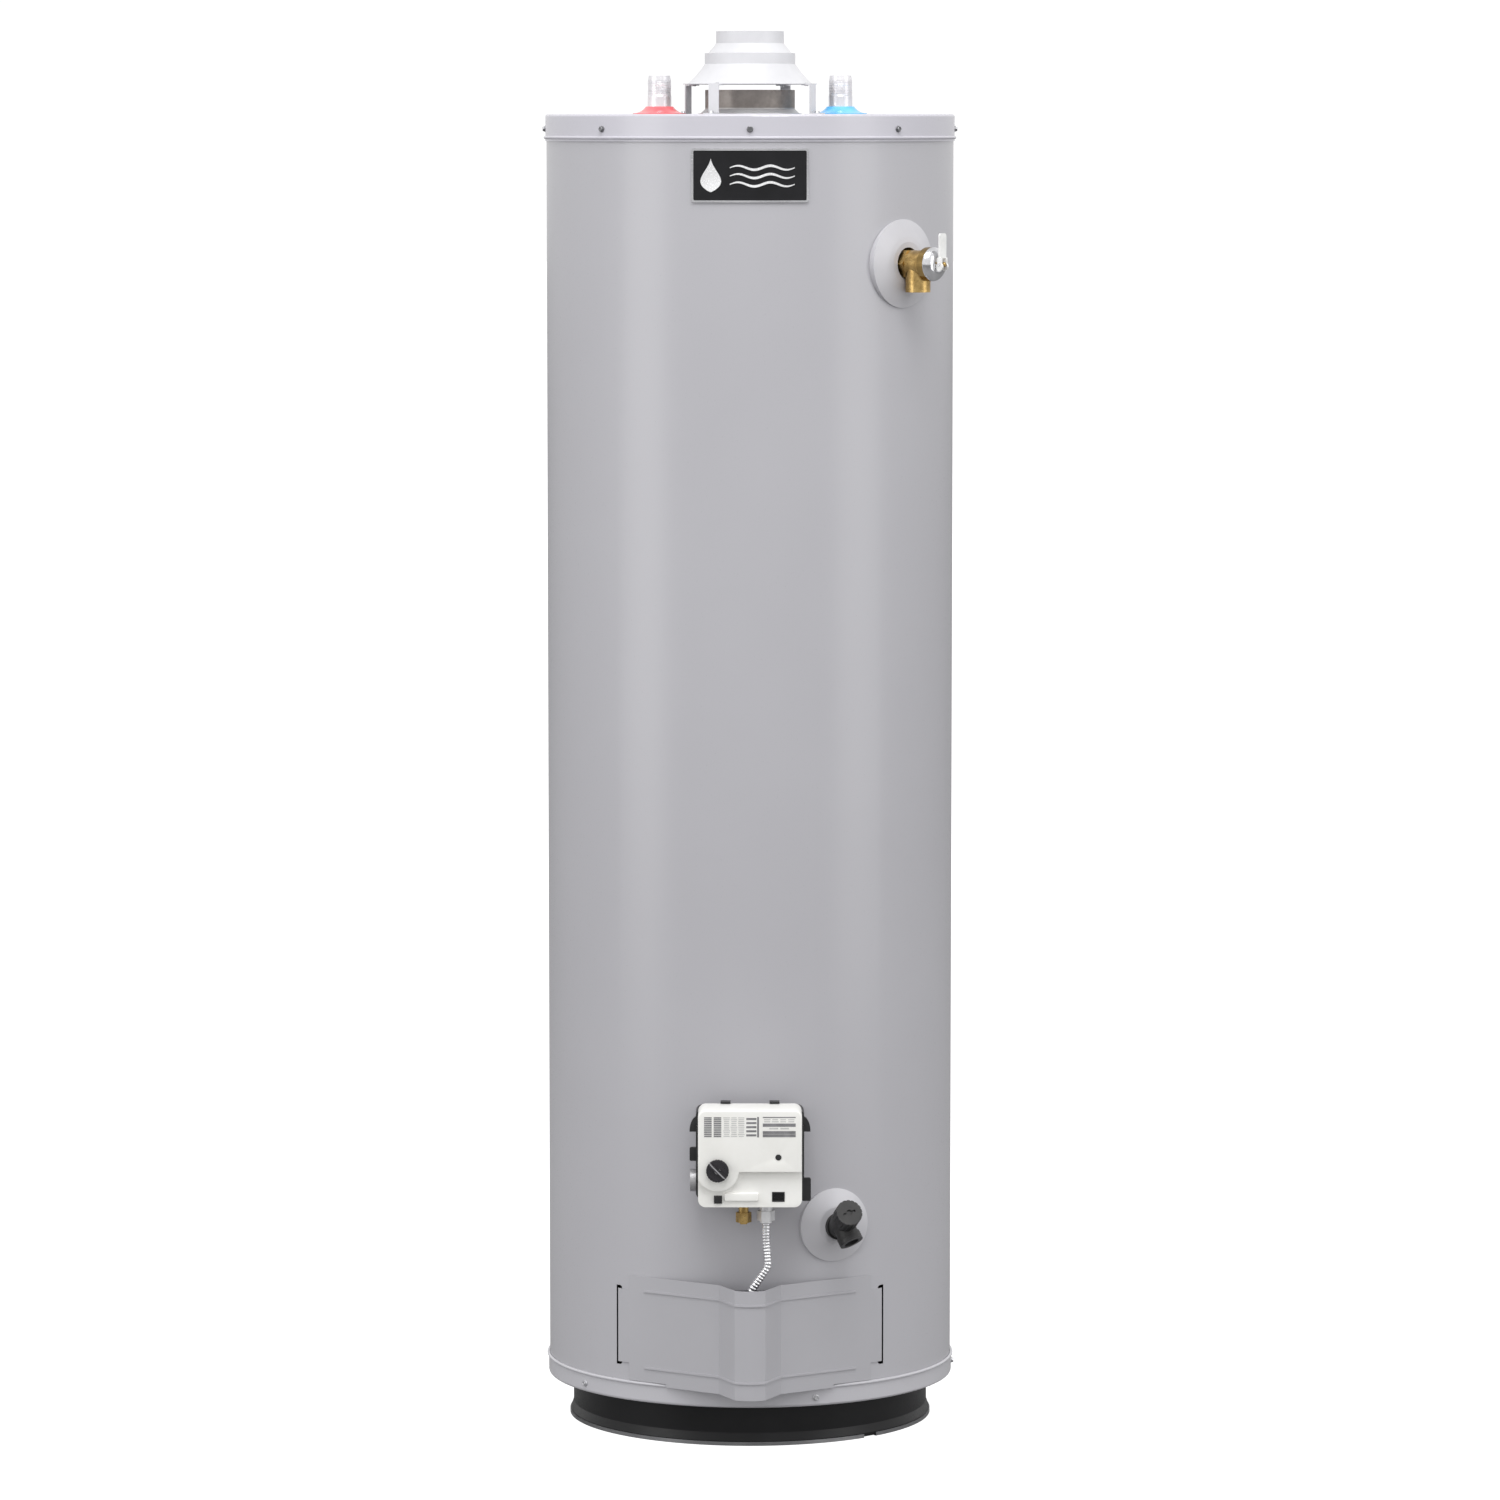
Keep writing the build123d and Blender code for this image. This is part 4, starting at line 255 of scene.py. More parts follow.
def makeSpangle():
    # the crystal flakes of hot-dip zinc
    group, entry, out = shaderGroup(
        "zincSpangle",
        [("Vector", "NodeSocketVector", (0, 0, 0)), ("Flake Scale", "NodeSocketFloat", 180.0)],
        ["Flake", "Edge"],
    )
    bend = addNoise(group, flakePlan["bendScale"], flakePlan["bendDetail"])
    wire(group, entry, "Vector", bend, "Vector")
    shift = group.nodes.new("ShaderNodeVectorMath")
    shift.operation = "MULTIPLY_ADD"
    shift.inputs[1].default_value = (flakePlan["bend"],) * 3
    wire(group, bend, "Color", shift, 0)
    wire(group, entry, "Vector", shift, 2)
    flakes = group.nodes.new("ShaderNodeTexVoronoi")
    wire(group, shift, "Vector", flakes, "Vector")
    wire(group, entry, "Flake Scale", flakes, "Scale")
    splitColour = group.nodes.new("ShaderNodeSeparateColor")
    wire(group, flakes, "Color", splitColour, "Color")
    wire(group, splitColour, "Red", out, "Flake")
    edgeRange = addRange(group, *flakePlan["edge"])
    wire(group, flakes, "Distance", edgeRange, "Value")
    wire(group, edgeRange, "Result", out, "Edge")
    return group


surfaceGrain = makeSurfaceGrain()
dustAndScuff = makeDustAndScuff()
zincSpangle = makeSpangle()


def placeGroup(tree, group, values):
    node = tree.nodes.new("ShaderNodeGroup")
    node.node_tree = group
    for label, value in values.items():
        node.inputs[label].default_value = value
    return node


def mixColour(tree, first, second, factorNode, factorSocket):
    mix = tree.nodes.new("ShaderNodeMix")
    mix.data_type = "RGBA"
    for colour, entry in ((first, 6), (second, 7)):
        if isinstance(colour, tuple):
            mix.inputs[entry].default_value = (*colour, 1)
        else:
            tree.links.new(colour.outputs[2], mix.inputs[entry])
    tree.links.new(factorNode.outputs[factorSocket], mix.inputs[0])
    return mix


def addTwoTone(tree, coords, colour, plan):
    # a second colour up to a height along an axis, or in a narrow stripe across it
    reach = tree.nodes.new("ShaderNodeVectorMath")
    reach.operation = "DOT_PRODUCT"
    reach.inputs[1].default_value = plan["axis"]
    wire(tree, coords, "Object", reach, 0)
    if "half" in plan:
        mask = addMath(tree, "COMPARE", plan["at"])
        mask.inputs[2].default_value = plan["half"]
        wire(tree, reach, "Value", mask, 0)
        return mixColour(tree, colour, plan["colour"], mask, "Value")
    mask = addRange(tree, plan["start"], plan["end"], 1.0, 0.0)
    wire(tree, reach, "Value", mask, "Value")
    return mixColour(tree, colour, plan["colour"], mask, "Result")


def makeFinish(name, look):
    material = bpy.data.materials.new(name)
    material.use_nodes = True
    tree = material.node_tree
    shader = tree.nodes["Principled BSDF"]
    coords = tree.nodes.new("ShaderNodeTexCoord")
    grain = placeGroup(tree, surfaceGrain, {
        "Streak": look.get("streak", (1, 1, 1)),
        "Grain Scale": look.get("grain", 600.0),
        "Cloud Scale": look.get("cloud", 6.0),
    })
    wire(tree, coords, "Object", grain, "Vector")
    colour = mixColour(tree, look["deep"], look["pale"], grain, "Tone")
    if "flake" in look:
        flakes = placeGroup(tree, zincSpangle, {"Flake Scale": look["flake"]})
        wire(tree, coords, "Object", flakes, "Vector")
        flakeRange = addRange(tree, 0, 1, 0, look["flakeShare"])
        wire(tree, flakes, "Flake", flakeRange, "Value")
        colour = mixColour(tree, colour, look["flakeColour"], flakeRange, "Result")
    for part in ("band", "stripe"):
        if part in look:
            colour = addTwoTone(tree, coords, colour, look[part])
    marks = placeGroup(tree, dustAndScuff, {
        "Dust": look.get("dust", 0.12),
        "Scuff": look.get("scuff", 0.1),
        "Scuff Scale": look.get("scuffScale", 45.0),
    })
    wire(tree, coords, "Object", marks, "Vector")
    colour = mixColour(tree, colour, look.get("scuffColour", (0.6, 0.6, 0.6)), marks, "Scuff Mask")
    colour = mixColour(tree, colour, look.get("dustColour", (0.55, 0.53, 0.5)), marks, "Dust Mask")
    tree.links.new(colour.outputs[2], shader.inputs["Base Color"])
    gloss = addRange(tree, 0, 1, look["rough"][0], look["rough"][1])
    wire(tree, grain, "Grain", gloss, "Value")
    dulled = addMath(tree, "MULTIPLY_ADD")
    dulled.inputs[1].default_value = dustPlan["dulls"]
    wire(tree, marks, "Dust Mask", dulled, 0)
    wire(tree, gloss, "Result", dulled, 2)
    wire(tree, dulled, "Value", shader, "Roughness")
    bump = tree.nodes.new("ShaderNodeBump")
    bump.inputs["Strength"].default_value = look.get("bump", 0.1)
    bump.inputs["Distance"].default_value = look.get("depth", 0.0002)
    wire(tree, grain, "Height", bump, "Height")
    wire(tree, bump, "Normal", shader, "Normal")
    shader.inputs["Metallic"].default_value = look.get("metallic", 0.0)
    shader.inputs["IOR"].default_value = look.get("ior", 1.5)
    shader.inputs["Coat Weight"].default_value = look.get("coat", 0.0)
    shader.inputs["Coat Roughness"].default_value = look.get("coatRough", 0.1)
    shader.inputs["Transmission Weight"].default_value = look.get("clear", 0.0)
    return material


finishes = {
    "jacketPaint": {
        "deep": (0.423, 0.418, 0.445), "pale": (0.445, 0.441, 0.468), "rough": (0.27, 0.34),
        "grain": 700.0, "cloud": 2.2, "bump": 0.05, "depth": 0.0001, "dust": 0.1, "scuff": 0.05,
        "scuffColour": (0.46, 0.46, 0.48), "dustColour": (0.5, 0.49, 0.48), "coat": 0.25,
        "coatRough": 0.2,
    },
    "panPaint": {
        "deep": (0.485, 0.48, 0.51), "pale": (0.51, 0.505, 0.535), "rough": (0.27, 0.34),
        "grain": 700.0, "cloud": 4.0, "bump": 0.05, "depth": 0.0001, "dust": 0.1, "scuff": 0.07,
        "scuffColour": (0.52, 0.52, 0.54), "coat": 0.25, "coatRough": 0.2,
    },
    "doorPaint": {
        "deep": (0.4, 0.396, 0.421), "pale": (0.424, 0.42, 0.446), "rough": (0.3, 0.38), "grain": 700.0,
        "cloud": 5.0, "bump": 0.05, "depth": 0.0001, "dust": 0.1, "scuff": 0.08,
        "scuffColour": (0.46, 0.46, 0.48), "coat": 0.15, "coatRough": 0.25,
    },
    "standEnamel": {
        "deep": (0.005, 0.005, 0.006), "pale": (0.011, 0.011, 0.012), "rough": (0.3, 0.44),
        "grain": 520.0, "cloud": 9.0, "bump": 0.12, "depth": 0.0002, "dust": 0.2, "scuff": 0.08,
        "scuffColour": (0.05, 0.05, 0.05), "dustColour": (0.12, 0.11, 0.1), "ior": 1.34,
    },
    "rolledRim": {
        "deep": (0.22, 0.22, 0.23), "pale": (0.36, 0.36, 0.37), "rough": (0.36, 0.5), "metallic": 0.85,
        "grain": 260.0, "streak": (1, 1, 7), "cloud": 14.0, "bump": 0.15, "scuff": 0.2,
        "scuffColour": (0.2, 0.19, 0.18),
    },
    "zincScrew": {
        "deep": (0.52, 0.52, 0.54), "pale": (0.7, 0.7, 0.72), "rough": (0.24, 0.4), "metallic": 1.0,
        "grain": 1500.0, "cloud": 120.0, "bump": 0.1, "scuff": 0.2, "scuffColour": (0.32, 0.31, 0.3),
    },
    "capScrew": {
        "deep": (0.16, 0.16, 0.17), "pale": (0.3, 0.3, 0.31), "rough": (0.3, 0.45), "metallic": 0.9,
        "grain": 1500.0, "cloud": 120.0, "bump": 0.1, "scuff": 0.2, "scuffColour": (0.5, 0.5, 0.5),
    },
    "hoodEnamel": {
        "deep": (0.56, 0.56, 0.58), "pale": (0.62, 0.62, 0.64), "rough": (0.3, 0.42), "grain": 420.0,
        "streak": (1, 1, 4), "cloud": 16.0, "bump": 0.06, "dust": 0.06, "scuff": 0.08,
        "scuffColour": (0.52, 0.52, 0.53), "dustColour": (0.64, 0.63, 0.62),
    },
    "capPaint": {
        "deep": (0.511, 0.501, 0.55), "pale": (0.538, 0.528, 0.578), "rough": (0.27, 0.34),
        "grain": 700.0, "cloud": 3.0, "bump": 0.05, "depth": 0.0001, "dust": 0.1, "scuff": 0.05,
        "scuffColour": (0.5, 0.5, 0.52), "dustColour": (0.5, 0.49, 0.48), "coat": 0.25,
        "coatRough": 0.2,
    },
    "galvanised": {
        "deep": (0.46, 0.46, 0.48), "pale": (0.6, 0.6, 0.62), "rough": (0.3, 0.5), "metallic": 0.9,
        "grain": 400.0, "cloud": 20.0, "bump": 0.08, "flake": 240.0, "flakeShare": 0.6,
        "flakeColour": (0.74, 0.75, 0.78), "scuff": 0.15, "scuffColour": (0.4, 0.4, 0.4),
    },
    # dark brownish collar steel, turned paler below 1.4805–1.4835 m up, over the bottom few millimetres at
    # the collar's foot
    "collarDarkPaleFoot": {
        "deep": (0.2, 0.18, 0.165), "pale": (0.34, 0.31, 0.285), "rough": (0.42, 0.6), "metallic": 0.75,
        "grain": 300.0, "cloud": 26.0, "bump": 0.12, "scuff": 0.3, "scuffColour": (0.13, 0.11, 0.1),
        "band": {"axis": (0, 0, 1), "start": 1.4805, "end": 1.4835, "colour": (0.72, 0.72, 0.73)},
    },
    "sootedSteel": {
        "deep": (0.03, 0.027, 0.025), "pale": (0.1, 0.09, 0.083), "rough": (0.65, 0.85),
        "metallic": 0.4, "grain": 240.0, "cloud": 18.0, "bump": 0.3, "depth": 0.0004, "scuff": 0.3,
        "scuffColour": (0.16, 0.13, 0.1),
    },
    "platedPipe": {
        "deep": (0.7, 0.69, 0.71), "pale": (0.88, 0.87, 0.89), "rough": (0.26, 0.4), "metallic": 0.6,
        "grain": 900.0, "streak": (1, 1, 0.12), "cloud": 40.0, "bump": 0.06, "scuff": 0.12,
        "scuffColour": (0.5, 0.48, 0.48),
    },
    "hotRing": {
        "deep": (0.8, 0.09, 0.11), "pale": (0.9, 0.15, 0.17), "rough": (0.26, 0.38), "grain": 800.0,
        "cloud": 40.0, "bump": 0.05, "dust": 0.2, "scuff": 0.05, "scuffColour": (0.9, 0.4, 0.4),
        "coat": 0.5,
    },
    "coldRing": {
        "deep": (0.06, 0.42, 0.85), "pale": (0.12, 0.55, 0.95), "rough": (0.26, 0.38), "grain": 800.0,
        "cloud": 40.0, "bump": 0.05, "dust": 0.2, "scuff": 0.05, "scuffColour": (0.4, 0.6, 0.95),
        "coat": 0.5,
    },
    "badgeMetal": {
        "deep": (0.5, 0.5, 0.52), "pale": (0.72, 0.72, 0.74), "rough": (0.16, 0.3), "metallic": 1.0,
        "grain": 900.0, "streak": (0.1, 0.1, 1), "cloud": 18.0, "bump": 0.05, "scuff": 0.08,
    },
    "badgeInk": {
        "deep": (0.006, 0.006, 0.007), "pale": (0.01, 0.01, 0.012), "rough": (0.3, 0.5), "grain": 900.0,
        "cloud": 30.0, "bump": 0.35, "depth": 0.0002, "dust": 0.03, "scuff": 0.05,
        "scuffColour": (0.04, 0.04, 0.04), "ior": 1.35,
    },
    "emblemSilver": {
        "deep": (0.72, 0.72, 0.73), "pale": (0.9, 0.9, 0.91), "rough": (0.2, 0.3), "metallic": 0.35,
        "grain": 700.0, "cloud": 26.0, "bump": 0.04, "scuff": 0.05,
    },
    "tankEnamel": {
        "deep": (0.08, 0.08, 0.085), "pale": (0.14, 0.14, 0.15), "rough": (0.5, 0.66), "grain": 240.0,
        "cloud": 8.0, "bump": 0.16, "scuff": 0.2, "scuffColour": (0.22, 0.2, 0.19),
    },
    "insulationFoam": {
        "deep": (0.56, 0.46, 0.25), "pale": (0.72, 0.63, 0.4), "rough": (0.8, 0.95), "grain": 260.0,
        "cloud": 30.0, "bump": 0.6, "depth": 0.0008, "dust": 0.1, "scuff": 0.2,
        "scuffColour": (0.45, 0.34, 0.17),
    },
    "waterPlastic": {
        "deep": (0.74, 0.74, 0.7), "pale": (0.84, 0.84, 0.8), "rough": (0.35, 0.5), "grain": 500.0,
        "cloud": 20.0, "bump": 0.06,
    },
    "anodeMetal": {
        "deep": (0.4, 0.4, 0.41), "pale": (0.56, 0.56, 0.57), "rough": (0.35, 0.5), "metallic": 0.9,
        "grain": 700.0, "cloud": 30.0, "bump": 0.1,
    },
    "plateGrey": {
        "deep": (0.5, 0.495, 0.522), "pale": (0.535, 0.53, 0.558), "rough": (0.28, 0.38),
        "grain": 700.0, "cloud": 18.0, "bump": 0.05, "dust": 0.08, "scuff": 0.06,
        "scuffColour": (0.52, 0.52, 0.54), "coat": 0.2,
    },
    "castBrass": {
        "deep": (0.3, 0.185, 0.06), "pale": (0.62, 0.43, 0.17), "rough": (0.24, 0.42), "metallic": 1.0,
        "grain": 650.0, "cloud": 90.0, "bump": 0.35, "depth": 0.0003, "scuff": 0.35,
        "scuffScale": 110.0, "scuffColour": (0.16, 0.09, 0.03), "dust": 0.05,
    },
    "polishedCap": {
        "deep": (0.62, 0.62, 0.64), "pale": (0.84, 0.84, 0.86), "rough": (0.1, 0.2), "metallic": 1.0,
        "grain": 900.0, "streak": (1, 1, 0.2), "cloud": 70.0, "bump": 0.06, "scuff": 0.15,
        "scuffColour": (0.4, 0.4, 0.42),
        "band": {"axis": (0.7337, -0.6794, 0), "start": 0.2738, "end": 0.2742, "colour": (0.42, 0.28, 0.1)},
    },
    "springWire": {
        "deep": (0.42, 0.42, 0.43), "pale": (0.58, 0.58, 0.6), "rough": (0.25, 0.36), "metallic": 1.0,
        "grain": 1200.0, "cloud": 90.0, "bump": 0.06,
    },
    "leverPaint": {
        "deep": (0.76, 0.76, 0.75), "pale": (0.87, 0.87, 0.86), "rough": (0.28, 0.4), "grain": 900.0,
        "cloud": 90.0, "bump": 0.1, "scuff": 0.12, "scuffColour": (0.5, 0.5, 0.5), "metallic": 0.15,
    },
    "valvePlastic": {
        "deep": (0.014, 0.014, 0.015), "pale": (0.027, 0.026, 0.026), "rough": (0.38, 0.55),
        "grain": 900.0, "cloud": 60.0, "bump": 0.3, "depth": 0.00025, "dust": 0.2, "scuff": 0.1,
        "scuffColour": (0.08, 0.08, 0.08), "dustColour": (0.16, 0.15, 0.14),
    },
    "framePlastic": {
        "deep": (0.008, 0.008, 0.009), "pale": (0.018, 0.018, 0.019), "rough": (0.4, 0.55),
        "grain": 1100.0, "cloud": 50.0, "bump": 0.2, "dust": 0.1, "scuff": 0.05,
        "scuffColour": (0.06, 0.06, 0.06),
    },
    "washerRubber": {
        "deep": (0.012, 0.012, 0.012), "pale": (0.03, 0.03, 0.03), "rough": (0.65, 0.8), "grain": 900.0,
        "cloud": 90.0, "bump": 0.2,
    },
    "castAlloy": {
        "deep": (0.42, 0.42, 0.43), "pale": (0.58, 0.58, 0.59), "rough": (0.42, 0.58), "metallic": 0.95,
        "grain": 420.0, "cloud": 40.0, "bump": 0.4, "depth": 0.0003, "scuff": 0.2,
        "scuffColour": (0.3, 0.3, 0.3),
    },
    "coverPlastic": {
        "deep": (0.83, 0.825, 0.79), "pale": (0.88, 0.875, 0.85), "rough": (0.3, 0.42), "grain": 1300.0,
        "cloud": 24.0, "bump": 0.12, "depth": 0.00012, "dust": 0.06, "scuff": 0.05,
        "scuffColour": (0.76, 0.75, 0.73), "dustColour": (0.76, 0.74, 0.71),
    },
    "knobPlastic": {
        "deep": (0.012, 0.011, 0.014), "pale": (0.024, 0.022, 0.026), "rough": (0.24, 0.4),
        "grain": 1100.0, "cloud": 90.0, "bump": 0.12, "dust": 0.08, "scuff": 0.12,
        "scuffColour": (0.12, 0.11, 0.12),
        "stripe": {"axis": (0.7071, 0, 0.7071), "at": 0.2068, "half": 0.0007, "colour": (0.3, 0.3, 0.31)},
    },
    "shaftSteel": {
        "deep": (0.5, 0.5, 0.51), "pale": (0.66, 0.66, 0.67), "rough": (0.2, 0.3), "metallic": 1.0,
        "grain": 900.0, "streak": (1, 0.1, 1), "cloud": 90.0, "bump": 0.05,
    },
    "lensPlastic": {
        "deep": (0.012, 0.012, 0.013), "pale": (0.022, 0.022, 0.024), "rough": (0.08, 0.14),
        "grain": 600.0, "cloud": 90.0, "bump": 0.03, "coat": 0.6, "dust": 0.03, "scuff": 0.03,
    },
    "tubeAlloy": {
        "deep": (0.7, 0.7, 0.72), "pale": (0.86, 0.86, 0.88), "rough": (0.16, 0.28), "metallic": 1.0,
        "grain": 900.0, "cloud": 70.0, "bump": 0.06, "scuff": 0.1, "scuffColour": (0.5, 0.5, 0.52),
    },
    "nutPlate": {
        "deep": (0.74, 0.74, 0.76), "pale": (0.9, 0.9, 0.91), "rough": (0.28, 0.4), "metallic": 0.4,
        "grain": 900.0, "cloud": 70.0, "bump": 0.1, "scuff": 0.15, "scuffColour": (0.5, 0.5, 0.52),
    },
    "burnerSteel": {
        "deep": (0.16, 0.15, 0.145), "pale": (0.3, 0.285, 0.27), "rough": (0.45, 0.62),
        "metallic": 0.85, "grain": 300.0, "cloud": 24.0, "bump": 0.15, "scuff": 0.3,
        "scuffColour": (0.1, 0.08, 0.07),
    },
    "gasketFibre": {
        "deep": (0.42, 0.4, 0.35), "pale": (0.58, 0.56, 0.5), "rough": (0.85, 0.95), "grain": 420.0,
        "cloud": 60.0, "bump": 0.6, "depth": 0.0006,
    },
    "sightGlass": {
        "deep": (0.8, 0.86, 0.84), "pale": (0.88, 0.92, 0.9), "rough": (0.03, 0.07), "grain": 300.0,
        "cloud": 60.0, "bump": 0.02, "clear": 0.85, "scuff": 0.02, "dust": 0.03,
    },
    "labelInk": {
        "deep": (0.16, 0.16, 0.165), "pale": (0.24, 0.24, 0.25), "rough": (0.4, 0.55), "grain": 1400.0,
        "cloud": 90.0, "bump": 0.04, "scuff": 0.2, "scuffColour": (0.5, 0.5, 0.5),
    },
    "faintInk": {
        "deep": (0.5, 0.5, 0.49), "pale": (0.6, 0.6, 0.59), "rough": (0.4, 0.55), "grain": 1400.0,
        "cloud": 90.0, "bump": 0.04, "scuff": 0.2, "scuffColour": (0.7, 0.7, 0.7),
    },
}
built = {name: makeFinish(name, look) for name, look in finishes.items()}
print("finishes made:", len(built))

wearing = {
    "jacketPaint": ["jacket_wrap"],
    "panPaint": ["bottom_pan"],
    "capPaint": ["jacket_cap"],
    "doorPaint": ["outer_door"],
    "standEnamel": ["base_ring"],
    "rolledRim": ["base_rim_trim"],
    "zincScrew": ["pan_screws", "hood_fasteners", "inner_door_screws"],
    "capScrew": ["cap_screws"],
    "hoodEnamel": ["draft_hood", "hood_legs"],
    "collarDarkPaleFoot": ["flue_collar"],
    "galvanised": ["inner_door", "chamber_floor"],
    "sootedSteel": ["flue_tube", "flue_baffle"],
    "platedPipe": ["hot_nipple", "cold_nipple"],
    "hotRing": ["hot_ring"],
    "coldRing": ["cold_ring"],
    "badgeMetal": ["badge_frame"],
    "badgeInk": ["badge_panel"],
    "tankEnamel": ["tank_shell", "tank_top_head", "tank_bottom_head"],
    "insulationFoam": ["foam_insulation"],
    "waterPlastic": ["dip_tube"],
    "anodeMetal": ["anode_rod", "relief_probe", "control_thermowell"],
    "plateGrey": ["relief_escutcheon", "drain_escutcheon"],
    "castBrass": ["relief_valve_body", "manifold_fitting", "relief_stem"],
    "polishedCap": ["relief_bonnet", "relief_lever_pin"],
    "springWire": ["relief_spring"],
    "leverPaint": ["relief_lever"],
    "valvePlastic": ["drain_valve_body", "drain_knob", "drain_stem"],
    "washerRubber": ["drain_seat_washer"],
    "framePlastic": ["control_mount_frame", "igniter_button", "control_connector"],
    "castAlloy": ["control_body"],
    "coverPlastic": ["control_cover"],
    "knobPlastic": ["control_knob"],
    "shaftSteel": ["control_knob_shaft"],
    "lensPlastic": ["status_lens"],
    "tubeAlloy": ["manifold_tube"],
    "nutPlate": ["manifold_nut"],
    "burnerSteel": ["burner_head", "burner_venturi", "pilot_assembly", "flame_arrestor"],
    "gasketFibre": ["inner_door_gasket"],
    "sightGlass": ["sight_glass"],
}
for finishName, wearers in wearing.items():
    for wearer in wearers:
        for place in nodes[wearer].material_slots:
            place.material = built[finishName]
print("CAD nodes finished")

# geometry trees


def growTree(name, entries):
    tree = bpy.data.node_groups.new(name, "GeometryNodeTree")
    tree.interface.new_socket(name="Geometry", in_out="INPUT", socket_type="NodeSocketGeometry")
    for label, kind, value in entries:
        entry = tree.interface.new_socket(name=label, in_out="INPUT", socket_type=kind)
        if value is not None:
            entry.default_value = value
    tree.interface.new_socket(name="Finish", in_out="INPUT", socket_type="NodeSocketMaterial")
    tree.interface.new_socket(name="Geometry", in_out="OUTPUT", socket_type="NodeSocketGeometry")
    return tree, tree.nodes.new("NodeGroupInput"), tree.nodes.new("NodeGroupOutput")


def endTree(tree, last, socket, entry, out):
    realize = tree.nodes.new("GeometryNodeRealizeInstances")
    paint = tree.nodes.new("GeometryNodeSetMaterial")
    wire(tree, last, socket, realize, "Geometry")
    wire(tree, realize, "Geometry", paint, "Geometry")
    wire(tree, entry, "Finish", paint, "Material")
    wire(tree, paint, "Geometry", out, "Geometry")


def grow(name, tree, values, start=None):
    seedData = start or bpy.data.meshes.new(name + "Start")
    holder = bpy.data.objects.new(name + "Holder", seedData)
    scene.collection.objects.link(holder)
    modifier = holder.modifiers.new(name, "NODES")
    modifier.node_group = tree
    for item in tree.interface.items_tree:
        if item.item_type == "SOCKET" and item.in_out == "INPUT" and item.name in values:
            modifier[item.identifier] = values[item.name]
    depsgraph = bpy.context.evaluated_depsgraph_get()
    mesh = bpy.data.meshes.new_from_object(holder.evaluated_get(depsgraph), depsgraph=depsgraph)
    bpy.data.objects.remove(holder)
    piece = bpy.data.objects.new(name, mesh)
    scene.collection.objects.link(piece)
    print("grown:", name, len(mesh.polygons), "faces")
    return piece


def finishPiece(piece, body, finish=None):
    if finish:
        piece.data.materials.clear()
        piece.data.materials.append(built[finish])
    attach(piece, body)
    return piece


def smoothPiece(piece, angle):
    piece.data.shade_smooth()
    piece.data.set_sharp_from_angle(angle=math.radians(angle))
    return piece


# screws round the cap and the pan

jacketScrews = {
    "flange": 0.0036, "hexAcross": 0.0052, "tall": 0.003, "sides": 24,
    "ring": 0.2298, "capStart": 0.0, "panStart": 18.5,
    # share of the hexagon, share of the height
    "hexRings": [(1.0, 0.36), (1.0, 0.86), (0.9, 1.0), (0.68, 1.0), (0.6, 0.82)],
}


def makeScrewHead(name, flange, hexAcross, tall):
    mesh = bmesh.new()
    rings = [(flange, 0), (flange, 0.22 * tall), (flange * 0.93, 0.3 * tall), (hexAcross * 0.56, 0.36 * tall)]
    steps = jacketScrews["sides"]
    turns = [2 * math.pi * n / steps for n in range(steps)]
    loops = []
    for radius, height in rings:
        loops.append([
            mesh.verts.new((radius * math.cos(angle), radius * math.sin(angle), height)) for angle in turns
        ])
    for scale, height in jacketScrews["hexRings"]:
        ring = []
        for angle in turns:
            local = (angle % (math.pi / 3)) - math.pi / 6
            radius = hexAcross / 2 / math.cos(local) * scale
            ring.append(mesh.verts.new((radius * math.cos(angle), radius * math.sin(angle), height * tall)))
        loops.append(ring)
    for lower, upper in zip(loops, loops[1:]):
        for n in range(steps):
            mesh.faces.new((lower[n], lower[(n + 1) % steps], upper[(n + 1) % steps], upper[n]))
    mesh.faces.new(loops[-1])
    mesh.faces.new(list(reversed(loops[0])))
    data = bpy.data.meshes.new(name)
    bmesh.ops.recalc_face_normals(mesh, faces=mesh.faces)
    mesh.to_mesh(data)
    mesh.free()
    head = bpy.data.objects.new(name, data)
    scene.collection.objects.link(head)
    return head


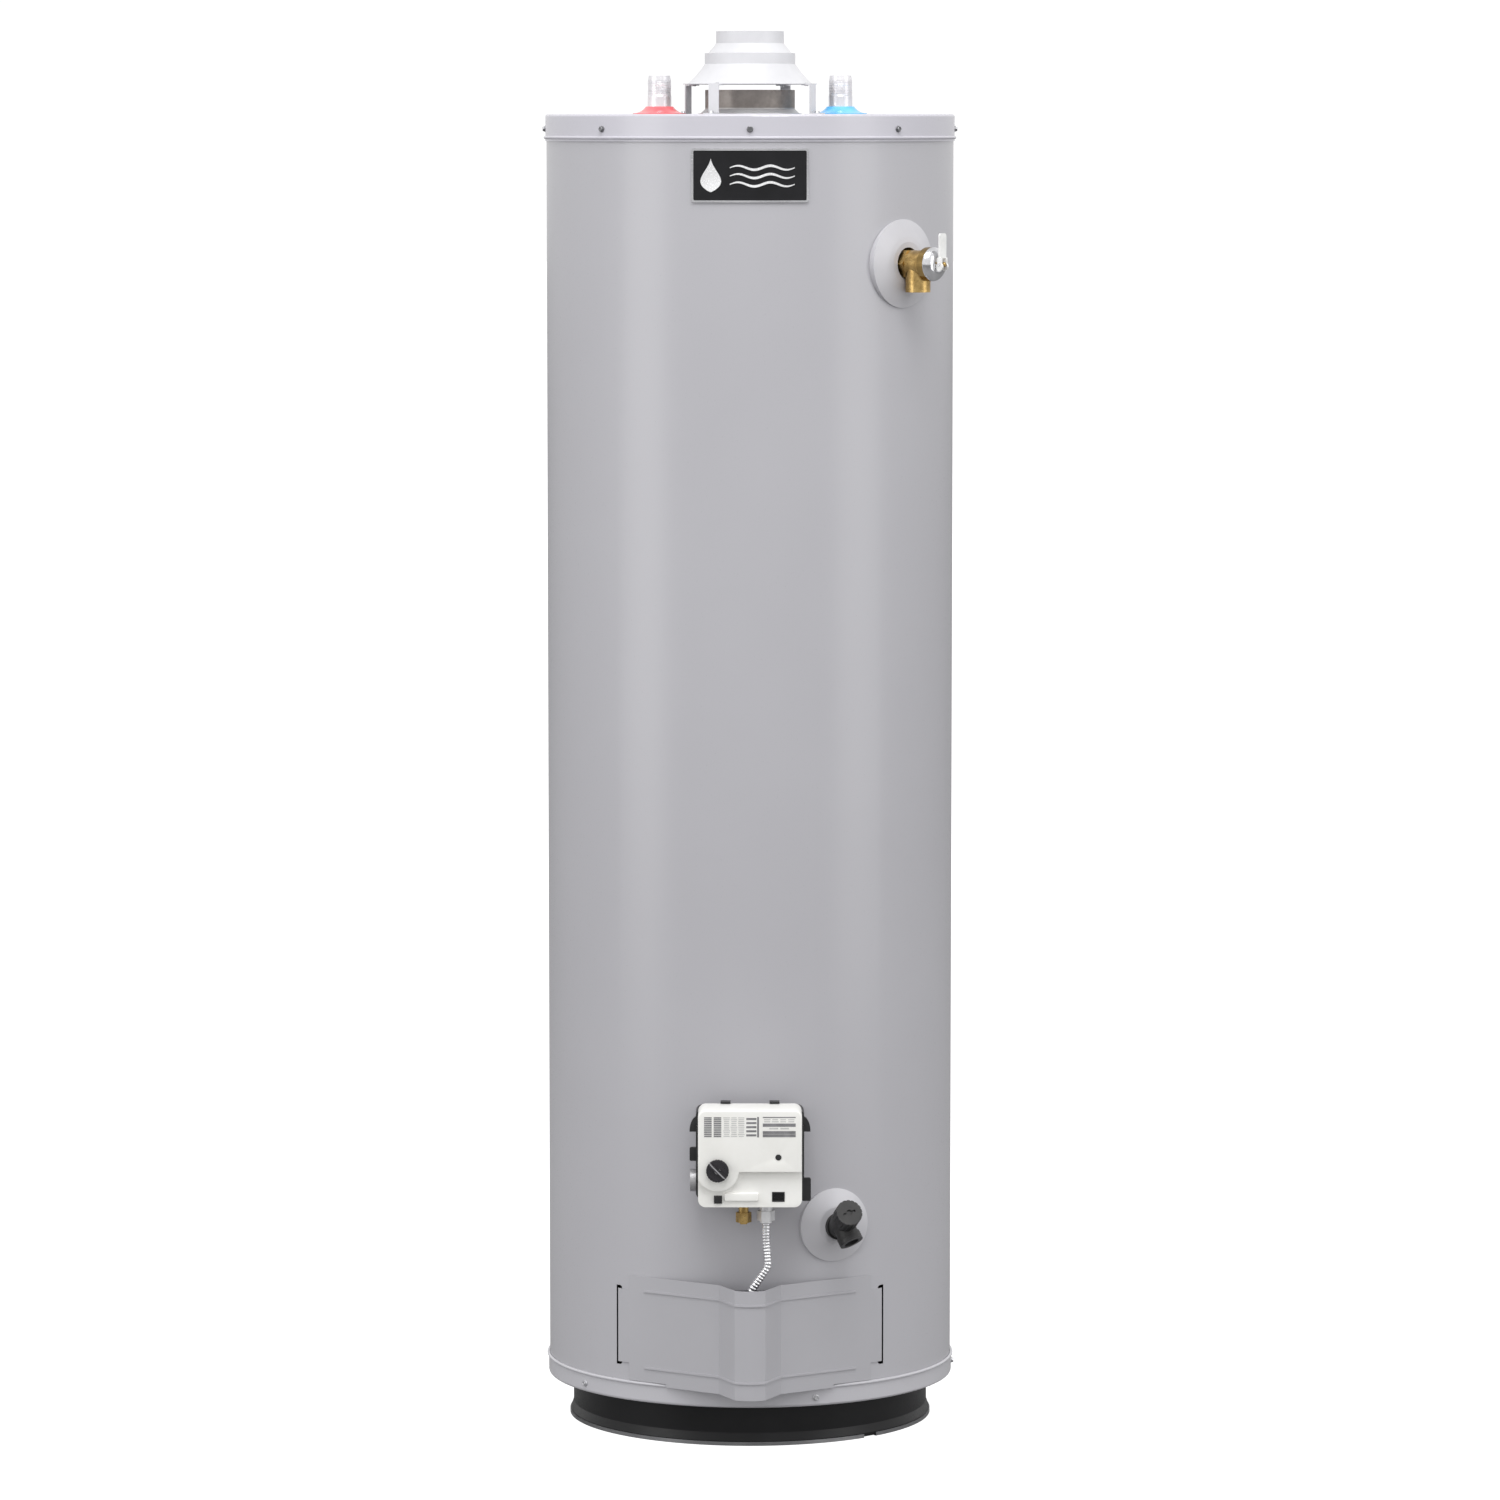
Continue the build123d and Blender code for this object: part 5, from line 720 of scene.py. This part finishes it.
def makeScrewRing():
    tree, entry, out = growTree("screwRing", [
        ("Head", "NodeSocketObject", None),
        ("Count", "NodeSocketInt", 8),
        ("Radius", "NodeSocketFloat", 0.23),
        ("Height", "NodeSocketFloat", 1.0),
        ("Start", "NodeSocketFloat", 0.0),
        ("Step", "NodeSocketFloat", 0.785),
    ])
    points = tree.nodes.new("GeometryNodePoints")
    wire(tree, entry, "Count", points, "Count")
    index = tree.nodes.new("GeometryNodeInputIndex")
    turn = addMath(tree, "MULTIPLY_ADD")
    wire(tree, index, "Index", turn, 0)
    wire(tree, entry, "Step", turn, 1)
    wire(tree, entry, "Start", turn, 2)
    sine, cosine = addMath(tree, "SINE"), addMath(tree, "COSINE")
    across, ahead = addMath(tree, "MULTIPLY"), addMath(tree, "MULTIPLY")
    back = addMath(tree, "MULTIPLY", -1.0)
    place = tree.nodes.new("ShaderNodeCombineXYZ")
    wire(tree, turn, "Value", sine, 0)
    wire(tree, turn, "Value", cosine, 0)
    wire(tree, sine, "Value", across, 0)
    wire(tree, entry, "Radius", across, 1)
    wire(tree, cosine, "Value", ahead, 0)
    wire(tree, entry, "Radius", ahead, 1)
    wire(tree, ahead, "Value", back, 0)
    wire(tree, across, "Value", place, "X")
    wire(tree, back, "Value", place, "Y")
    wire(tree, entry, "Height", place, "Z")
    move = tree.nodes.new("GeometryNodeSetPosition")
    wire(tree, points, 0, move, "Geometry")
    wire(tree, place, "Vector", move, "Position")
    facing = tree.nodes.new("ShaderNodeCombineXYZ")
    facing.inputs["X"].default_value = math.pi / 2
    wire(tree, turn, "Value", facing, "Z")
    rotation = tree.nodes.new("FunctionNodeEulerToRotation")
    wire(tree, facing, "Vector", rotation, 0)
    head = tree.nodes.new("GeometryNodeObjectInfo")
    wire(tree, entry, "Head", head, "Object")
    spread = tree.nodes.new("GeometryNodeInstanceOnPoints")
    wire(tree, move, "Geometry", spread, "Points")
    wire(tree, head, "Geometry", spread, "Instance")
    wire(tree, rotation, "Rotation", spread, "Rotation")
    endTree(tree, spread, "Instances", entry, out)
    return tree


screwSizes = [jacketScrews[measure] for measure in ("flange", "hexAcross", "tall")]
screwHead = makeScrewHead("screwHead", *screwSizes)
screwRing = makeScrewRing()
for name, node, count, start, look in (
    ("capScrews", "cap_screws", 8, jacketScrews["capStart"], "capScrew"),
    ("panScrews", "pan_screws", 5, jacketScrews["panStart"], "zincScrew"),
):
    low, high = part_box(node)
    ring = grow(name, screwRing, {
        "Head": screwHead,
        "Count": count,
        "Radius": jacketScrews["ring"],
        "Height": (low.z + high.z) / 2,
        "Start": math.radians(start),
        "Step": 2 * math.pi / count,
        "Finish": built[look],
    })
    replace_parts(finishPiece(smoothPiece(ring, 30), "heater"), node)
bpy.data.objects.remove(screwHead)

# ribbed gas tube

gasTube = {
    "bore": 0.0044, "rib": 0.0004, "pitch": 0.0036, "bend": 0.018,
    "bendSteps": 14, "step": 0.00045, "sides": 24,
    "route": [
        (0.0175, -0.2726, 0.302), (0.0175, -0.2726, 0.2475), (0.0203, -0.275, 0.2155),
        (0.002, -0.2726, 0.1885), (0, -0.2576, 0.142), (0, -0.2366, 0.124), (0, -0.1796, 0.124),
    ],
}


def makeRibbedTube():
    tree, entry, out = growTree("ribbedTube", [
        ("Bore", "NodeSocketFloat", 0.0044),
        ("Rib", "NodeSocketFloat", 0.0004),
        ("Pitch", "NodeSocketFloat", 0.0036),
        ("Bend", "NodeSocketFloat", 0.018),
    ])
    fillet = tree.nodes.new("GeometryNodeFilletCurve")
    fillet.mode = "POLY"
    fillet.inputs["Count"].default_value = gasTube["bendSteps"]
    wire(tree, entry, "Geometry", fillet, "Curve")
    wire(tree, entry, "Bend", fillet, "Radius")
    resample = tree.nodes.new("GeometryNodeResampleCurve")
    resample.mode = "LENGTH"
    resample.inputs["Length"].default_value = gasTube["step"]
    wire(tree, fillet, "Curve", resample, "Curve")
    along = tree.nodes.new("GeometryNodeSplineParameter")
    phase, wave, swell = addMath(tree, "DIVIDE"), addMath(tree, "SINE"), addMath(tree, "MULTIPLY_ADD")
    turns = addMath(tree, "MULTIPLY", 2 * math.pi)
    wire(tree, along, "Length", phase, 0)
    wire(tree, entry, "Pitch", phase, 1)
    wire(tree, phase, "Value", turns, 0)
    wire(tree, turns, "Value", wave, 0)
    wire(tree, wave, "Value", swell, 0)
    wire(tree, entry, "Rib", swell, 1)
    wire(tree, entry, "Bore", swell, 2)
    thick = tree.nodes.new("GeometryNodeSetCurveRadius")
    wire(tree, resample, "Curve", thick, "Curve")
    wire(tree, swell, "Value", thick, "Radius")
    roundSection = tree.nodes.new("GeometryNodeCurvePrimitiveCircle")
    roundSection.inputs["Resolution"].default_value = gasTube["sides"]
    roundSection.inputs["Radius"].default_value = 1.0
    skin = tree.nodes.new("GeometryNodeCurveToMesh")
    skin.inputs["Fill Caps"].default_value = True
    wire(tree, thick, "Curve", skin, "Curve")
    wire(tree, roundSection, "Curve", skin, "Profile Curve")
    if "Scale" in skin.inputs:
        wire(tree, swell, "Value", skin, "Scale")
    endTree(tree, skin, "Mesh", entry, out)
    return tree


tubeLine = bpy.data.curves.new("gasTubeLine", "CURVE")
tubeLine.dimensions = "3D"
run = tubeLine.splines.new("POLY")
run.points.add(len(gasTube["route"]) - 1)
for point, corner in zip(run.points, gasTube["route"]):
    point.co = (*corner, 1)
ribbed = grow("gasTubeRibbed", makeRibbedTube(), {
    "Bore": gasTube["bore"], "Rib": gasTube["rib"], "Pitch": gasTube["pitch"], "Bend": gasTube["bend"],
    "Finish": built["tubeAlloy"],
}, tubeLine)
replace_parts(finishPiece(smoothPiece(ribbed, 60), "heater"), "manifold_tube")

# pipe threads on the nipples and the hose outlet

threadMesh = {"perTurn": 40, "ridgeSides": 6}


def makeThreadCoil():
    tree, entry, out = growTree("threadCoil", [
        ("Turns", "NodeSocketFloat", 10.0),
        ("Low Radius", "NodeSocketFloat", 0.013),
        ("High Radius", "NodeSocketFloat", 0.012),
        ("Height", "NodeSocketFloat", 0.02),
        ("Ridge", "NodeSocketFloat", 0.0005),
        ("Place", "NodeSocketVector", (0, 0, 0)),
        ("Turn", "NodeSocketVector", (0, 0, 0)),
    ])
    spiral = tree.nodes.new("GeometryNodeCurveSpiral")
    spiral.inputs["Resolution"].default_value = threadMesh["perTurn"]
    wire(tree, entry, "Turns", spiral, "Rotations")
    wire(tree, entry, "Low Radius", spiral, "Start Radius")
    wire(tree, entry, "High Radius", spiral, "End Radius")
    wire(tree, entry, "Height", spiral, "Height")
    ridge = tree.nodes.new("GeometryNodeCurvePrimitiveCircle")
    ridge.inputs["Resolution"].default_value = threadMesh["ridgeSides"]
    wire(tree, entry, "Ridge", ridge, "Radius")
    skin = tree.nodes.new("GeometryNodeCurveToMesh")
    skin.inputs["Fill Caps"].default_value = True
    wire(tree, spiral, "Curve", skin, "Curve")
    wire(tree, ridge, "Curve", skin, "Profile Curve")
    move = tree.nodes.new("GeometryNodeTransform")
    wire(tree, skin, "Mesh", move, "Geometry")
    wire(tree, entry, "Place", move, "Translation")
    wire(tree, entry, "Turn", move, "Rotation")
    endTree(tree, move, "Geometry", entry, out)
    return tree


pipeThread = {"pitch": 0.00181, "length": 0.0165, "ridge": 0.0004, "radius": 0.0129, "below": 0.0055}
threadCoil = makeThreadCoil()
for name, node in (("hotThread", "hot_nipple"), ("coldThread", "cold_nipple")):
    low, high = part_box(node)
    coil = grow(name, threadCoil, {
        "Turns": pipeThread["length"] / pipeThread["pitch"],
        "Low Radius": pipeThread["radius"],
        "High Radius": pipeThread["radius"],
        "Height": pipeThread["length"],
        "Ridge": pipeThread["ridge"],
        "Place": ((low.x + high.x) / 2, 0, high.z - pipeThread["length"] - pipeThread["below"]),
        "Finish": built["platedPipe"],
    })
    finishPiece(smoothPiece(coil, 50), "heater")

hoseThread = {"pitch": 0.0022, "length": 0.0085, "ridge": 0.0005, "radius": 0.0132}
hoseMount = next(mount for mount in frame["record"]["mounts"] if mount["name"] == "drain_outlet")
hoseWay = Vector(hoseMount["axis"])
coil = grow("hoseThread", threadCoil, {
    "Turns": hoseThread["length"] / hoseThread["pitch"],
    "Low Radius": hoseThread["radius"],
    "High Radius": hoseThread["radius"],
    "Height": hoseThread["length"],
    "Ridge": hoseThread["ridge"],
    "Place": Vector(hoseMount["pos_m"]) - hoseWay * hoseThread["length"] / 2,
    "Turn": tuple(hoseWay.to_track_quat("Z", "Y").to_euler()),
    "Finish": built["valvePlastic"],
})
finishPiece(smoothPiece(coil, 50), "heater")

# the moulded cover, with its edges rounded over

coverEdges = {"width": 0.0016, "segments": 4, "sharpOver": 32, "flatUnder": 1.5, "weld": 0.00002}


def softened(name, node, plan):
    mesh = bmesh.new()
    mesh.from_mesh(nodes[node].data)
    bmesh.ops.remove_doubles(mesh, verts=mesh.verts, dist=plan["weld"])
    flat = math.radians(plan["flatUnder"])
    bmesh.ops.dissolve_limit(mesh, angle_limit=flat, verts=mesh.verts, edges=mesh.edges)
    turned = math.radians(plan["sharpOver"])
    sharp = [e for e in mesh.edges if len(e.link_faces) == 2 and e.calc_face_angle(0) > turned]
    bmesh.ops.bevel(
        mesh, geom=sharp, offset=plan["width"], segments=plan["segments"], profile=0.5,
        affect="EDGES", clamp_overlap=True,
    )
    bmesh.ops.triangulate(mesh, faces=[f for f in mesh.faces if len(f.verts) > 4])
    data = bpy.data.meshes.new(name)
    mesh.to_mesh(data)
    mesh.free()
    piece = bpy.data.objects.new(name, data)
    scene.collection.objects.link(piece)
    print("softened:", name, len(data.polygons), "faces")
    return piece


cover = smoothPiece(softened("controlShell", "control_cover", coverEdges), 30)
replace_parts(finishPiece(cover, "heater", "coverPlastic"), "control_cover")

# printed panel on the cover: rows of plain bars

controlLabel = {
    "front": 0.3121, "thick": 0.00012, "barShare": 0.92, "ragged": 0.25, "seed": 11,
    "fields": [
        # middle x, middle z, width, height, columns, rows, share of a bar, ink
        (-0.0460, 0.3755, 0.0090, 0.0225, 1, 11, 0.72, "labelInk"),
        (-0.0355, 0.3755, 0.0090, 0.0225, 1, 11, 0.72, "labelInk"),
        (-0.0175, 0.3755, 0.0240, 0.0225, 3, 11, 0.5, "faintInk"),
        (0.0015, 0.3755, 0.0120, 0.0225, 1, 5, 0.5, "labelInk"),
        (0.0088, 0.3755, 0.0022, 0.0225, 1, 1, 1.0, "labelInk"),
        (0.0319, 0.3862, 0.0390, 0.0012, 1, 1, 1.0, "labelInk"),
        (0.0319, 0.3826, 0.0350, 0.0046, 4, 2, 0.5, "faintInk"),
        (0.0319, 0.3777, 0.0390, 0.0036, 1, 1, 1.0, "labelInk"),
        (0.0319, 0.3739, 0.0240, 0.0016, 2, 1, 1.0, "faintInk"),
        (0.0319, 0.3678, 0.0390, 0.0070, 1, 2, 0.92, "labelInk"),
    ],
}


def makeBarField():
    tree, entry, out = growTree("barField", [
        ("Width", "NodeSocketFloat", 0.01),
        ("Height", "NodeSocketFloat", 0.02),
        ("Columns", "NodeSocketInt", 2),
        ("Rows", "NodeSocketInt", 8),
        ("Share", "NodeSocketFloat", 0.6),
        ("Ragged", "NodeSocketFloat", 0.1),
        ("Thick", "NodeSocketFloat", 0.0001),
        ("Seed", "NodeSocketInt", 3),
        ("Place", "NodeSocketVector", (0, 0, 0)),
    ])
    cellWidth, cellHeight = addMath(tree, "DIVIDE"), addMath(tree, "DIVIDE")
    spanWidth, spanHeight = addMath(tree, "SUBTRACT"), addMath(tree, "SUBTRACT")
    barWidth, barHeight = addMath(tree, "MULTIPLY", controlLabel["barShare"]), addMath(tree, "MULTIPLY")
    for cell, whole, count, span, bar in (
        (cellWidth, "Width", "Columns", spanWidth, barWidth),
        (cellHeight, "Height", "Rows", spanHeight, barHeight),
    ):
        wire(tree, entry, whole, cell, 0)
        wire(tree, entry, count, cell, 1)
        wire(tree, entry, whole, span, 0)
        wire(tree, cell, "Value", span, 1)
        wire(tree, cell, "Value", bar, 0)
    wire(tree, entry, "Share", barHeight, 1)
    grid = tree.nodes.new("GeometryNodeMeshGrid")
    wire(tree, spanWidth, "Value", grid, "Size X")
    wire(tree, spanHeight, "Value", grid, "Size Y")
    wire(tree, entry, "Columns", grid, "Vertices X")
    wire(tree, entry, "Rows", grid, "Vertices Y")
    points = tree.nodes.new("GeometryNodeMeshToPoints")
    wire(tree, grid, "Mesh", points, "Mesh")
    size = tree.nodes.new("ShaderNodeCombineXYZ")
    wire(tree, barWidth, "Value", size, "X")
    wire(tree, barHeight, "Value", size, "Y")
    wire(tree, entry, "Thick", size, "Z")
    bar = tree.nodes.new("GeometryNodeMeshCube")
    wire(tree, size, "Vector", bar, "Size")
    shorten = addMath(tree, "SUBTRACT")
    shorten.inputs[0].default_value = 1.0
    wire(tree, entry, "Ragged", shorten, 1)
    random = tree.nodes.new("FunctionNodeRandomValue")
    random.data_type = "FLOAT"
    wire(tree, shorten, "Value", random, 2)
    random.inputs[3].default_value = 1.0
    wire(tree, entry, "Seed", random, "Seed")
    scale = tree.nodes.new("ShaderNodeCombineXYZ")
    tree.links.new(random.outputs[1], scale.inputs["X"])
    scale.inputs["Y"].default_value = 1.0
    scale.inputs["Z"].default_value = 1.0
    spread = tree.nodes.new("GeometryNodeInstanceOnPoints")
    wire(tree, points, "Points", spread, "Points")
    wire(tree, bar, "Mesh", spread, "Instance")
    wire(tree, scale, "Vector", spread, "Scale")
    stand = tree.nodes.new("GeometryNodeTransform")
    stand.inputs["Rotation"].default_value = (math.pi / 2, 0, 0)
    wire(tree, spread, "Instances", stand, "Geometry")
    wire(tree, entry, "Place", stand, "Translation")
    endTree(tree, stand, "Geometry", entry, out)
    return tree


barField = makeBarField()
for number, (x, z, width, height, columns, rows, share, ink) in enumerate(controlLabel["fields"]):
    faint = ink == "faintInk"
    bars = grow(f"labelBars{number}", barField, {
        "Width": width, "Height": height, "Columns": columns, "Rows": rows, "Share": share,
        "Ragged": controlLabel["ragged"] if faint else 0.0,
        "Thick": controlLabel["thick"],
        "Seed": controlLabel["seed"] + number,
        "Place": (x, -controlLabel["front"], z),
        "Finish": built[ink],
    })
    finishPiece(bars, "heater")

# a plain drop and waves on the badge

badgeEmblem = {
    "radius": 0.23032, "thick": 0.0005, "middle": 1.4092,
    "dropAt": -0.043, "dropTall": 0.036, "dropWide": 0.0225,
    "dropSag": 1.75, "dropFull": 0.85, "dropTip": 0.0002, "dropSteps": 40,
    "waves": [0.0085, -0.0005, -0.0095], "waveLeft": -0.022, "waveLong": 0.071, "waveTall": 0.0022,
    "waveWide": 0.0028, "waveEnd": 0.03, "waveTaper": 0.4, "waveSteps": 72,
}


def wrapRound(mesh, radius):
    for point in mesh.verts:
        turn = point.co.x / radius
        reach = radius + point.co.y
        point.co = Vector((math.sin(turn) * reach, -math.cos(turn) * reach, point.co.z))


def raisedBand(mesh, upper, lower, thick):
    # a strip between two rows of points, with a front, a back and its edges
    count = len(upper)
    frontUp, frontLow, backUp, backLow = [
        [mesh.verts.new((x, depth, z)) for x, z in line] for depth in (thick, 0) for line in (upper, lower)
    ]
    for n in range(count - 1):
        mesh.faces.new((frontUp[n], frontLow[n], frontLow[n + 1], frontUp[n + 1]))
        mesh.faces.new((backUp[n], backUp[n + 1], backLow[n + 1], backLow[n]))
        mesh.faces.new((frontUp[n], frontUp[n + 1], backUp[n + 1], backUp[n]))
        mesh.faces.new((frontLow[n], backLow[n], backLow[n + 1], frontLow[n + 1]))
    for n in (0, count - 1):
        mesh.faces.new((frontUp[n], backUp[n], backLow[n], frontLow[n]))


def makeEmblem(plan):
    mesh = bmesh.new()
    upper, lower = [], []
    for n in range(plan["dropSteps"] + 1):
        t = n / plan["dropSteps"]
        tall = plan["dropTall"] * (0.5 - t)
        share = math.sin(math.pi * t ** plan["dropSag"]) ** plan["dropFull"] if 0 < t < 1 else 0.0
        half = plan["dropWide"] / 2 * share + plan["dropTip"]
        upper.append((plan["dropAt"] - half, plan["middle"] + tall))
        lower.append((plan["dropAt"] + half, plan["middle"] + tall))
    raisedBand(mesh, upper, lower, plan["thick"])
    for level in plan["waves"]:
        upper, lower = [], []
        for n in range(plan["waveSteps"] + 1):
            t = n / plan["waveSteps"]
            x = plan["waveLeft"] + plan["waveLong"] * t
            z = plan["middle"] + level + plan["waveTall"] * math.sin(4 * math.pi * t)
            along = min(max(t, plan["waveEnd"]), 1 - plan["waveEnd"])
            half = plan["waveWide"] / 2 * math.sin(math.pi * along) ** plan["waveTaper"]
            upper.append((x, z + half))
            lower.append((x, z - half))
        raisedBand(mesh, upper, lower, plan["thick"])
    wrapRound(mesh, plan["radius"])
    bmesh.ops.recalc_face_normals(mesh, faces=mesh.faces)
    data = bpy.data.meshes.new("badgeEmblem")
    mesh.to_mesh(data)
    mesh.free()
    emblem = bpy.data.objects.new("badgeEmblem", data)
    scene.collection.objects.link(emblem)
    return emblem


finishPiece(makeEmblem(badgeEmblem), "heater", "emblemSilver")
print("badge emblem made")
